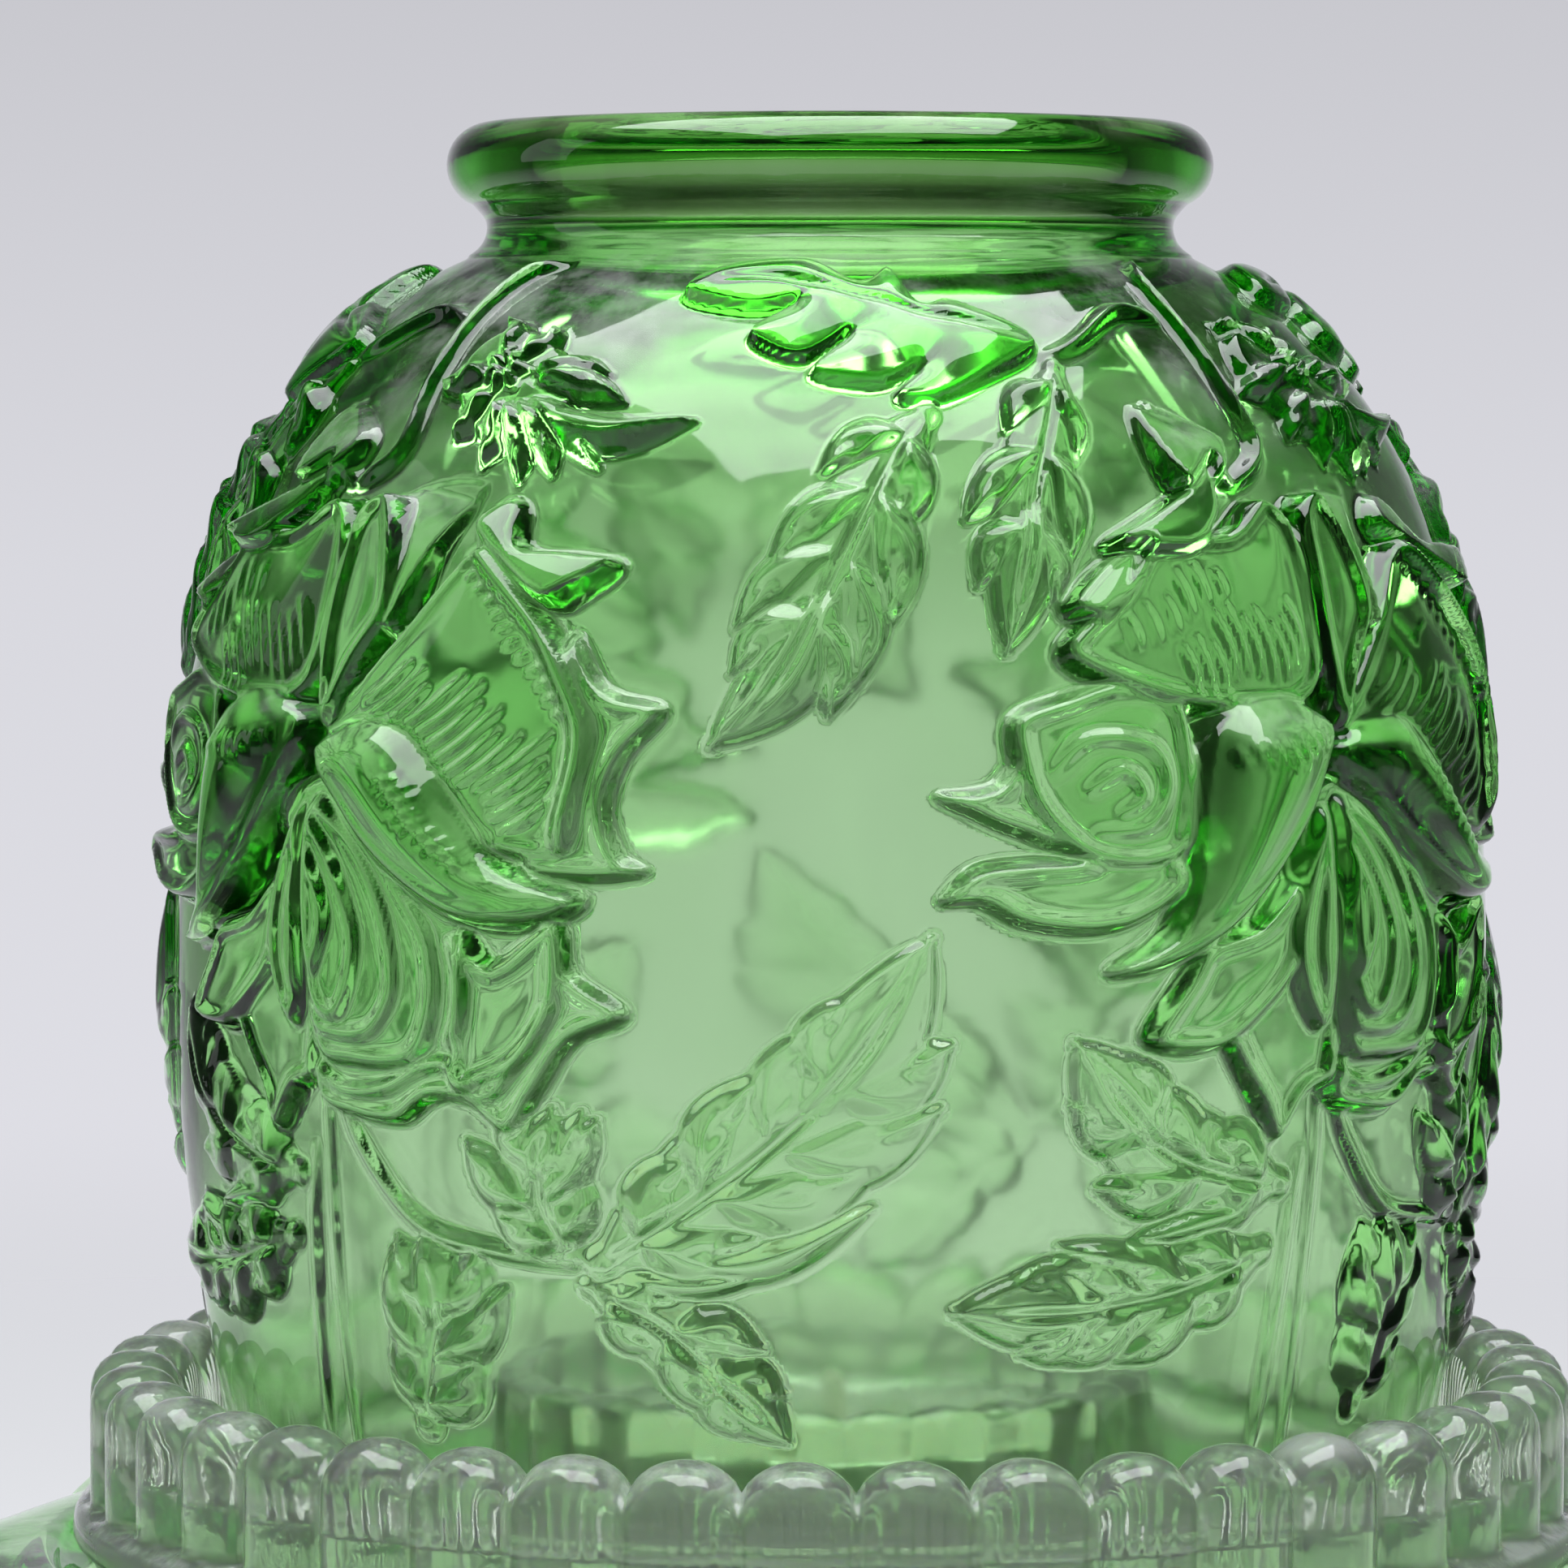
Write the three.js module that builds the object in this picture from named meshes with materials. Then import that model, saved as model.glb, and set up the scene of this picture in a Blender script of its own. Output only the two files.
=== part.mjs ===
// A three-piece pressed-glass fairy lamp, in millimetres, +Z up, origin at the centre of the foot on the table.
//
// A footed green bowl with a ruffled brim carries a clear insert on a seat in its mouth. The insert has a
// scalloped gallery of upright fingers round its rim, a ledge inside the gallery, and a cup for the candle
// in its middle. A green dome shade with an open, rolled neck stands on the ledge. A tealight stands in the
// cup: an aluminium shell, the wax in it, a wick, and the steel sustainer that holds the wick up.
import * as THREE from "three";

// ---- the candle --------------------------------------------------------------------------------------
const TEALIGHT_RADIUS = 19;
const TEALIGHT_HEIGHT = 16;
const TEALIGHT_SKIN = 0.35; // drawn aluminium
const TEALIGHT_RIM = 0.7; // how far the rolled edge stands out
const TEALIGHT_CORNER = 1; // the bevel at its foot
const WAX_DEPTH = 12.5;
const WAX_MENISCUS = 0.5; // the wax climbs this far up the shell
const WICK_RADIUS = 0.9;
const WICK_ABOVE_WAX = 7;
const SUSTAINER_RADIUS = 6.5;
const SUSTAINER_THICKNESS = 0.5;
const SUSTAINER_COLLAR = 2.6; // height of the collar that is crimped on the wick
const SUSTAINER_COLLAR_WALL = 0.5;
const FIT = 0.3; // clearance between two pieces of the candle

// ---- the shade ---------------------------------------------------------------------------------------
const SHADE_HEIGHT = 96;
const SHADE_WALL = 3.4;
const SKIRT_RADIUS = 43.4; // outside, at the foot of the shade
const BELLY_RADIUS = 48; // outside, at the widest
const BELLY_DROP = 60; // from the top of the lip to the widest
const DOME_CROWN = 5.5; // the dome's curve would close this far below the top of the lip
const DOME_SIDE_POWER = 2.75; // the dome is a superellipse with these two powers
const DOME_TOP_POWER = 2.7;
const NECK_CLEARANCE = 1.7; // round a tealight that is lifted out through the neck
const NECK_WALL = 3.3;
const NECK_DROP = 7.7; // from the top of the lip to the narrowest
const NECK_FILLET = 2; // how far the neck's hollow widens before the dome starts
const LIP_BEAD_RADIUS = 3; // the rolled bead round the mouth

// ---- the clear insert --------------------------------------------------------------------------------
const FINGERS = 42; // the upright glass fingers round the gallery
const FINGER_TURN = 1.8; // degrees from the front to the nearest groove
const FINGER_THICKNESS = 7;
const FINGER_RISE = 7.5; // from the ledge to the top of a finger
const FINGER_NOTCH = 1.8; // how far the rim dips between two fingers
const FINGER_FLUTE = 1.2; // how deep the flute between two fingers is
const SKIRT_CLEARANCE = 3.2; // between the shade's foot and the gallery, so that it lifts out easily
const LEDGE_WIDTH = 7;
const LEDGE_ABOVE_FLANGE = 3.1;
const FLANGE_THICKNESS = 2.2;
const FLANGE_PROUD = 1.2; // beyond the fingers
const FLANGE_ABOVE_SEAT = 6;
const CONE_INSET = 0.6; // the cone under the flange starts this far inside its edge
const CONE_FOOT_WIDTH = 5.2; // the ring that rests on the seat
const INSERT_WALL = 6;
const INSERT_DEPTH = 8; // below the seat
const INSERT_FLOOR = 5;
const INSERT_TAPER = 6; // how much narrower the body is at its floor
const CUP_CLEARANCE = 0.8; // round the tealight's rolled edge
const CUP_WALL = 3.4;
const CUP_DEPTH = 20;
const CUP_BASE_RISE = 1; // the cup's floor stands this far above the dish

// ---- the base ----------------------------------------------------------------------------------------
const SEAT_HEIGHT = 52; // table to the face that the insert rests on
const BODY_CLEARANCE = 1.5; // round the insert's body
const SEAT_CLEARANCE = 0.8; // round the ring that rests on the seat
const BASE_WALL = 4.5;
const BOWL_SWELL = 2; // the bowl's belly stands this far beyond its throat
const BOWL_BELLY_HEIGHT = 34;
const BOWL_FLOOR = 9; // thickness of glass over the foot
const FOOT_RADIUS = 34;
const FOOT_HEIGHT = 7;
const FOOT_RING = 6; // width of the ring that stands on the table
const FOOT_RECESS = 3;
const WAIST_INSET = 4; // from the foot's edge in to the waist
const WAIST_HEIGHT = 9;
const CREST_CLEARANCE = 3; // from the flange out to the crest of the brim
const CREST_GAP = 1; // the crest lies this far below the flange
const BRIM_REACH = 18.5; // from the crest to the edge of the brim
const BRIM_DROP = 6;
const BRIM_THICKNESS = 3.4;
const RUFFLES = 8;
const RUFFLE_RISE = 4.2;
const RUFFLE_REACH = 1.6;

// ---- worked out from those ---------------------------------------------------------------------------
const tealightEdge = TEALIGHT_RADIUS + TEALIGHT_RIM;
const fingerInner = SKIRT_RADIUS + SKIRT_CLEARANCE;
const fingerOuter = fingerInner + FINGER_THICKNESS;
const flangeRadius = fingerOuter + FLANGE_PROUD;
const ledgeInner = fingerInner - LEDGE_WIDTH;
const bodyRadius = ledgeInner + INSERT_WALL;
const coneFoot = bodyRadius + CONE_FOOT_WIDTH;
const cupInner = tealightEdge + CUP_CLEARANCE;
const cupOuter = cupInner + CUP_WALL;
const mouthRadius = bodyRadius + BODY_CLEARANCE;
const seatOuter = coneFoot + SEAT_CLEARANCE;
const crestRadius = flangeRadius + CREST_CLEARANCE;
const brimEdge = crestRadius + BRIM_REACH;

const flangeBottom = SEAT_HEIGHT + FLANGE_ABOVE_SEAT;
const flangeTop = flangeBottom + FLANGE_THICKNESS;
const ledgeHeight = flangeTop + LEDGE_ABOVE_FLANGE;
const fingerTop = ledgeHeight + FINGER_RISE;
const insertBottom = SEAT_HEIGHT - INSERT_DEPTH;
const insertFloor = insertBottom + INSERT_FLOOR;
const cupFloor = insertFloor + CUP_BASE_RISE;
const cupRim = cupFloor + CUP_DEPTH;
const lipTop = ledgeHeight + SHADE_HEIGHT;
const crestHeight = flangeBottom - CREST_GAP;

const neckBore = tealightEdge + NECK_CLEARANCE;
const neckRadius = neckBore + NECK_WALL;

const waxBottom = cupFloor + TEALIGHT_SKIN;
const waxTop = waxBottom + WAX_DEPTH;
const wickBore = WICK_RADIUS + FIT;
const collarRadius = wickBore + SUSTAINER_COLLAR_WALL;

const SHADE_SIDES = 60;
const RUFFLE_SIDES = 8; // sides to one ruffle
const CANDLE_SIDES = 32;
const QUARTER = Math.PI / 2;

// ---- drawing helpers ---------------------------------------------------------------------------------
// Profile points are [radius, height] pairs.
const corners = (...pairs) => pairs.map((pair) => new THREE.Vector2(...pair));

// Points on an arc in the profile plane. Angle 0 points away from the axis.
function arc(radius, height, size, from, to, steps) {
  return Array.from({ length: steps + 1 }, (_, i) => {
    const angle = from + ((to - from) * i) / steps;
    return new THREE.Vector2(radius + size * Math.cos(angle), height + size * Math.sin(angle));
  });
}

const smooth = (pairs, steps) => new THREE.SplineCurve(corners(...pairs)).getPoints(steps);

// Turns a profile round +Z. warp, where given, moves a point by its radius, height and angle.
function turned(profile, sides, warp) {
  const geometry = new THREE.LatheGeometry(profile, sides);
  const place = geometry.attributes.position;
  for (let i = 0; warp && i < place.count; i++) {
    const radius = Math.hypot(place.getX(i), place.getZ(i));
    const angle = (2 * Math.PI * (Math.floor(i / profile.length) % sides)) / sides;
    const [r, height] = warp(radius, place.getY(i), angle);
    place.setXYZ(i, r * Math.sin(angle), height, r * Math.cos(angle));
  }
  return geometry.rotateX(QUARTER);
}

function piece(name, geometry, material) {
  const mesh = new THREE.Mesh(geometry, material);
  mesh.name = name;
  return mesh;
}

const finish = (color, roughness, metalness) => new THREE.MeshStandardMaterial({ color, roughness, metalness });
const greenGlass = finish(0x4fa15a, 0.06, 0);
const clearGlass = finish(0xdfe5da, 0.08, 0);
const aluminium = finish(0xc9cbce, 0.35, 1);
const wax = finish(0xf3efe2, 0.5, 0);
const cotton = finish(0xe9e4d6, 0.9, 0);
const steel = finish(0x9a9c9f, 0.4, 1);

// ---- the pieces --------------------------------------------------------------------------------------
// One side of the dome, from the widest up to the radius where the neck takes over.
function dome(widest, rise, stop, steps) {
  const bellyHeight = lipTop - BELLY_DROP;
  const last = (1 - (stop / widest) ** DOME_SIDE_POWER) ** (1 / DOME_TOP_POWER);
  return Array.from({ length: steps + 1 }, (_, i) => {
    const share = last * Math.sin((QUARTER * i) / steps);
    const radius = widest * (1 - share ** DOME_TOP_POWER) ** (1 / DOME_SIDE_POWER);
    return new THREE.Vector2(radius, bellyHeight + rise * share);
  });
}

// The shade: up the outside, over the rolled lip and down the inside, closing on itself.
function shade() {
  const rise = BELLY_DROP - DOME_CROWN;
  const bellyHeight = lipTop - BELLY_DROP;
  const halfway = (SKIRT_RADIUS + BELLY_RADIUS) / 2;
  const low = (ledgeHeight + bellyHeight) / 2;
  const beadCentre = neckBore + LIP_BEAD_RADIUS;
  const beadHeight = lipTop - LIP_BEAD_RADIUS;
  const skirtInner = SKIRT_RADIUS - SHADE_WALL;
  const profile = [
    ...corners([SKIRT_RADIUS, ledgeHeight], [halfway + 0.7, low]),
    ...dome(BELLY_RADIUS, rise, neckRadius + NECK_FILLET, 11),
    ...corners([neckRadius, lipTop - NECK_DROP]),
    ...arc(beadCentre, beadHeight, LIP_BEAD_RADIUS, -QUARTER / 2, 2 * QUARTER, 8),
    ...corners([neckBore, lipTop - NECK_DROP]),
    ...dome(BELLY_RADIUS - SHADE_WALL, rise - SHADE_WALL, neckBore + NECK_FILLET, 9).reverse(),
    ...corners([halfway + 0.7 - SHADE_WALL, low], [skirtInner, ledgeHeight], [SKIRT_RADIUS, ledgeHeight]),
  ];
  return turned(profile, SHADE_SIDES);
}

// The insert: dish, gallery and candle cup are one pressing.
function insert() {
  const middle = fingerOuter - FINGER_THICKNESS / 2;
  const shoulder = fingerTop - FINGER_THICKNESS / 2;
  const profile = [
    ...corners([0, insertBottom], [bodyRadius - INSERT_TAPER, insertBottom], [bodyRadius, SEAT_HEIGHT]),
    ...corners([coneFoot, SEAT_HEIGHT], [flangeRadius - CONE_INSET, flangeBottom]),
    ...corners([flangeRadius, flangeBottom], [flangeRadius, flangeTop], [fingerOuter, flangeTop]),
    ...arc(middle, shoulder, FINGER_THICKNESS / 2, 0, 2 * QUARTER, 6),
    ...corners([fingerInner, ledgeHeight], [ledgeInner, ledgeHeight]),
    ...corners([ledgeInner - INSERT_TAPER / 2, insertFloor], [cupOuter, insertFloor]),
    ...corners([cupOuter, cupRim], [cupInner, cupRim], [cupInner, cupFloor], [0, cupFloor]),
  ];
  const fluted = (radius, height, angle) => {
    const groove = Math.cos(FINGERS * angle) > 0 ? 1 : 0;
    const onFinger = radius > fingerInner - 0.1 && height > flangeTop - 0.1;
    const onFace = onFinger && radius > middle + 0.1 && radius < fingerOuter + 0.1;
    const above = onFinger ? Math.max(0, (height - shoulder) / (fingerTop - shoulder)) : 0;
    return [radius - (onFace ? groove * FINGER_FLUTE : 0), height - groove * above * FINGER_NOTCH];
  };
  return turned(profile, 2 * FINGERS, fluted).rotateZ(THREE.MathUtils.degToRad(FINGER_TURN));
}

// The base: a footed bowl whose brim turns out, droops and is crimped into ruffles.
function base() {
  const throat = mouthRadius + BASE_WALL;
  const belly = throat + BOWL_SWELL;
  const waist = FOOT_RADIUS - WAIST_INSET;
  const edgeHeight = crestHeight - BRIM_DROP;
  const floorHeight = FOOT_RECESS + BOWL_FLOOR;
  const low = (WAIST_HEIGHT + BOWL_BELLY_HEIGHT) / 2;
  const bulge = waist + 0.78 * (belly - waist);
  const outside = [
    [FOOT_RADIUS - WAIST_INSET / 2, FOOT_HEIGHT],
    [waist, WAIST_HEIGHT],
    [bulge, low - 2],
    [belly, BOWL_BELLY_HEIGHT],
    [throat + 1.5, SEAT_HEIGHT - 6],
    [crestRadius + 2, crestHeight - BRIM_THICKNESS - 2],
    [brimEdge - 1, edgeHeight - BRIM_THICKNESS],
  ];
  const inside = [
    [mouthRadius, SEAT_HEIGHT],
    [belly - BASE_WALL, BOWL_BELLY_HEIGHT],
    [bulge - BASE_WALL, low + 2],
    [waist - BASE_WALL - 6, floorHeight],
  ];
  const profile = [
    ...corners([0, FOOT_RECESS], [FOOT_RADIUS - FOOT_RING - 1, FOOT_RECESS]),
    ...corners([FOOT_RADIUS - FOOT_RING, 0], [FOOT_RADIUS, 0], [FOOT_RADIUS, FOOT_HEIGHT / 3]),
    ...smooth(outside, 13),
    ...corners([brimEdge, edgeHeight - BRIM_THICKNESS / 2], [brimEdge - 1, edgeHeight]),
    ...corners([crestRadius + 0.5 * BRIM_REACH, crestHeight - 0.4 * BRIM_DROP]),
    ...corners([crestRadius, crestHeight], [crestRadius - 2.2, crestHeight - 0.8], [seatOuter, SEAT_HEIGHT]),
    ...smooth(inside, 7),
    ...corners([0, floorHeight]),
  ];
  return turned(profile, RUFFLE_SIDES * RUFFLES, (radius, height, angle) => {
    const out = Math.max(0, (radius - crestRadius) / BRIM_REACH);
    const wave = out * out * Math.cos(RUFFLES * angle);
    return [radius + wave * RUFFLE_REACH, height + wave * RUFFLE_RISE];
  });
}

// The tealight's shell: a drawn cup with its edge rolled out.
function tealightShell() {
  const inner = TEALIGHT_RADIUS - TEALIGHT_SKIN;
  const top = cupFloor + TEALIGHT_HEIGHT;
  const profile = [
    ...corners([0, cupFloor], [TEALIGHT_RADIUS - TEALIGHT_CORNER, cupFloor]),
    ...corners([TEALIGHT_RADIUS, cupFloor + TEALIGHT_CORNER], [TEALIGHT_RADIUS, top - 1]),
    ...corners([tealightEdge, top - 0.6], [tealightEdge, top], [inner, top]),
    ...corners([inner, waxBottom + TEALIGHT_CORNER], [inner - TEALIGHT_CORNER, waxBottom], [0, waxBottom]),
  ];
  return turned(profile, CANDLE_SIDES);
}

// The wax, poured round the sustainer and the wick, which leave a pocket and a bore in it.
function waxFill() {
  const foot = waxBottom + FIT;
  const outer = TEALIGHT_RADIUS - TEALIGHT_SKIN - FIT;
  const pocket = SUSTAINER_RADIUS + FIT;
  const pocketTop = waxBottom + SUSTAINER_THICKNESS + FIT;
  const collarTop = waxBottom + SUSTAINER_COLLAR + FIT;
  const profile = [
    ...corners([pocket, foot], [outer - TEALIGHT_CORNER, foot], [outer, foot + TEALIGHT_CORNER]),
    ...corners([outer, waxTop + WAX_MENISCUS], [outer - 1.5, waxTop], [wickBore, waxTop]),
    ...corners([wickBore, collarTop], [collarRadius + FIT, collarTop], [collarRadius + FIT, pocketTop]),
    ...corners([pocket, pocketTop], [pocket, foot]),
  ];
  return turned(profile, CANDLE_SIDES);
}

function wick() {
  const foot = waxBottom + FIT;
  const top = waxTop + WICK_ABOVE_WAX;
  const profile = corners([0, foot], [WICK_RADIUS, foot], [WICK_RADIUS, top - 0.6], [0.6 * WICK_RADIUS, top], [0, top]);
  return turned(profile, CANDLE_SIDES / 4);
}

// The sustainer: a steel disc with a collar crimped round the wick.
function sustainer() {
  const top = waxBottom + SUSTAINER_THICKNESS;
  const collarTop = waxBottom + SUSTAINER_COLLAR;
  const profile = [
    ...corners([wickBore, waxBottom], [SUSTAINER_RADIUS, waxBottom], [SUSTAINER_RADIUS, top]),
    ...corners([collarRadius, top], [collarRadius, collarTop], [wickBore, collarTop], [wickBore, waxBottom]),
  ];
  return turned(profile, CANDLE_SIDES);
}

const lamp = new THREE.Group();
lamp.add(piece("base_bowl", base(), greenGlass));
lamp.add(piece("candle_insert", insert(), clearGlass));
lamp.add(piece("dome_shade", shade(), greenGlass));
lamp.add(piece("tealight_shell", tealightShell(), aluminium));
lamp.add(piece("tealight_wax", waxFill(), wax));
lamp.add(piece("wick", wick(), cotton));
lamp.add(piece("wick_sustainer", sustainer(), steel));

export default lamp;
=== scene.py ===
"""Looks for the pressed-glass fairy lamp: relief, ruffles, fingers, candle, glass, light and camera.

Shapes are worked out in millimetres and turned into metres when a mesh is made. Every glass piece is a
closed surface of revolution whose points are then moved by a height field, by grooves or by ruffles.
"""
import math

import bmesh
import bpy
import numpy as np
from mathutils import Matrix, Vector


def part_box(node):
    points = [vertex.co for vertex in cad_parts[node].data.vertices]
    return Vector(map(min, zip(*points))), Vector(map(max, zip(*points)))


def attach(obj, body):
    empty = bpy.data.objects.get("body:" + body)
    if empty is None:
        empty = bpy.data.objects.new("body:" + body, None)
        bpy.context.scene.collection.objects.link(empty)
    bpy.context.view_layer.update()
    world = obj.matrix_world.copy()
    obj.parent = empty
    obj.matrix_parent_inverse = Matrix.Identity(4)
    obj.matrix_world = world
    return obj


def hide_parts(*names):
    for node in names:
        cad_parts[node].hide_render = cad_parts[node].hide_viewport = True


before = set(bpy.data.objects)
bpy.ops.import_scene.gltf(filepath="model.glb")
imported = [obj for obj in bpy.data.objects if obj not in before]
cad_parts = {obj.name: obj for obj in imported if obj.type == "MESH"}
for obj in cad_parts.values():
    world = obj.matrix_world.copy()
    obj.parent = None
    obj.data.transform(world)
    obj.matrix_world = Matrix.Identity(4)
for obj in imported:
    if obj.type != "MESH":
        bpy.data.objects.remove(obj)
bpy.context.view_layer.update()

MM = 0.001
TAU = 2 * math.pi

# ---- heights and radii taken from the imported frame, in millimetres ----


def span(node):
    """Lowest height, highest height and greatest radius of a CAD node."""
    low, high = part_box(node)
    return low.z / MM, high.z / MM, high.x / MM


LEDGE, LIP, BELLY = span("dome_shade")
INSERT_FOOT, FINGER_TOP, FLANGE_RADIUS = span("candle_insert")
CREST = span("base_bowl")[1]
SHELL_FOOT, SHELL_TOP, SHELL_EDGE = span("tealight_shell")
WAX_FOOT, WAX_TOP, WAX_RADIUS = span("tealight_wax")
WICK_FOOT, WICK_TOP, WICK_RADIUS = span("wick")
SUSTAINER_FOOT, COLLAR_TOP, SUSTAINER_RADIUS = span("wick_sustainer")

# ---- the shade's bare wall, before the relief ----
TILES = 4  # the relief repeats four times round the shade
HALF_TILE = 180 / TILES
PANEL_TURN = -1.75  # degrees from the front to the middle of the smooth panel
RELIEF_STAND = 0.8  # the CAD wall runs through the middle of the relief, so the bare wall is inside it
BARE = BELLY - RELIEF_STAND
BELLY_DROP = 60.0
SHADE_DROP = LIP - LEDGE
SKIRT_RADIUS = 43.2
SKIRT_POWER = 1.8
DOME_RISE = 54.5
DOME_SIDE_POWER = 2.75
DOME_TOP_POWER = 2.7
WALL = 2.6
CROWN_WALL = 5.0  # the wall thickens towards the neck
RELIEF_GAIN = 1.15
NECK_BORE = 21.4
NECK = [(26.2, 9.7), (25.1, 8.8), (24.65, 7.8), (24.75, 6.9), (25.4, 6.1)]  # radius, drop below the lip
BEAD_RADIUS = 3.05
BEAD_CENTRE = (NECK_BORE + BEAD_RADIUS, BEAD_RADIUS)
BEAD_START = math.radians(-68)
FOOT_ROUND = 1.3

# ---- mesh fineness ----
TILE_COLUMNS = 240
RELIEF_ROWS = 340


def smoothstep(low, high, value):
    """0 at low, 1 at high and smooth between them."""
    share = np.clip((value - low) / (high - low), 0, 1)
    return share * share * (3 - 2 * share)


def curve(points, steps=6, closed=False):
    """A Catmull-Rom curve through the points."""
    p = np.array(points, float)
    if closed:
        p = np.vstack([p[-1], p, p[0], p[1]])
    else:
        p = np.vstack([2 * p[0] - p[1], p, 2 * p[-1] - p[-2]])
    t = np.linspace(0, 1, steps, endpoint=False)[:, None]
    runs = []
    for a, b, c, d in zip(p[:-3], p[1:-2], p[2:-1], p[3:]):
        bend, twist = 2 * a - 5 * b + 4 * c - d, 3 * b - a - 3 * c + d
        runs.append(0.5 * (2 * b + (c - a) * t + bend * t**2 + twist * t**3))
    if not closed:
        runs.append(p[-2:-1])
    return np.vstack(runs)


def bare_radius(drop, belly=BARE, skirt=SKIRT_RADIUS, rise=DOME_RISE):
    """Radius of the smooth wall at a height below the top of the lip."""
    up = np.clip((BELLY_DROP - drop) / rise, 0, 0.999)
    dome = belly * (1 - up**DOME_TOP_POWER) ** (1 / DOME_SIDE_POWER)
    down = np.clip((drop - BELLY_DROP) / (SHADE_DROP - BELLY_DROP), 0, 1)
    return dome - (belly - skirt) * down**SKIRT_POWER


def lengths_along(line):
    """How far along the polyline each of its points lies."""
    return np.concatenate([[0], np.cumsum(np.hypot(*np.diff(line, axis=0).T))])


def evenly(points, count):
    """The polyline's points, set again at even steps."""
    p = np.array(points, float)
    along = lengths_along(p)
    at = np.linspace(0, along[-1], count)
    return np.column_stack([np.interp(at, along, p[:, 0]), np.interp(at, along, p[:, 1])])


def soften(field, passes):
    """The field with its creases eased away."""
    for _ in range(passes):
        p = np.pad(field, 1, mode="edge")
        field = (p[:-2, 1:-1] + p[2:, 1:-1] + p[1:-1, :-2] + p[1:-1, 2:] + 4 * field) / 8
    return field


# Arc length down the wall from the neck, which is the relief's second coordinate.
WALL_DROPS = np.linspace(NECK[0][1], SHADE_DROP, 800)
WALL_DOWN = lengths_along(np.column_stack([WALL_DROPS, bare_radius(WALL_DROPS)]))
WALL_LENGTH = WALL_DOWN[-1]
DEGREE = 0.8  # millimetres of wall to one degree round the belly

RIM_INSET = 0.7  # a petal's turned-up rim runs this far inside its outline
RIM_WIDTH = 0.55
LOWEST_PETAL = 0.1


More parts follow.
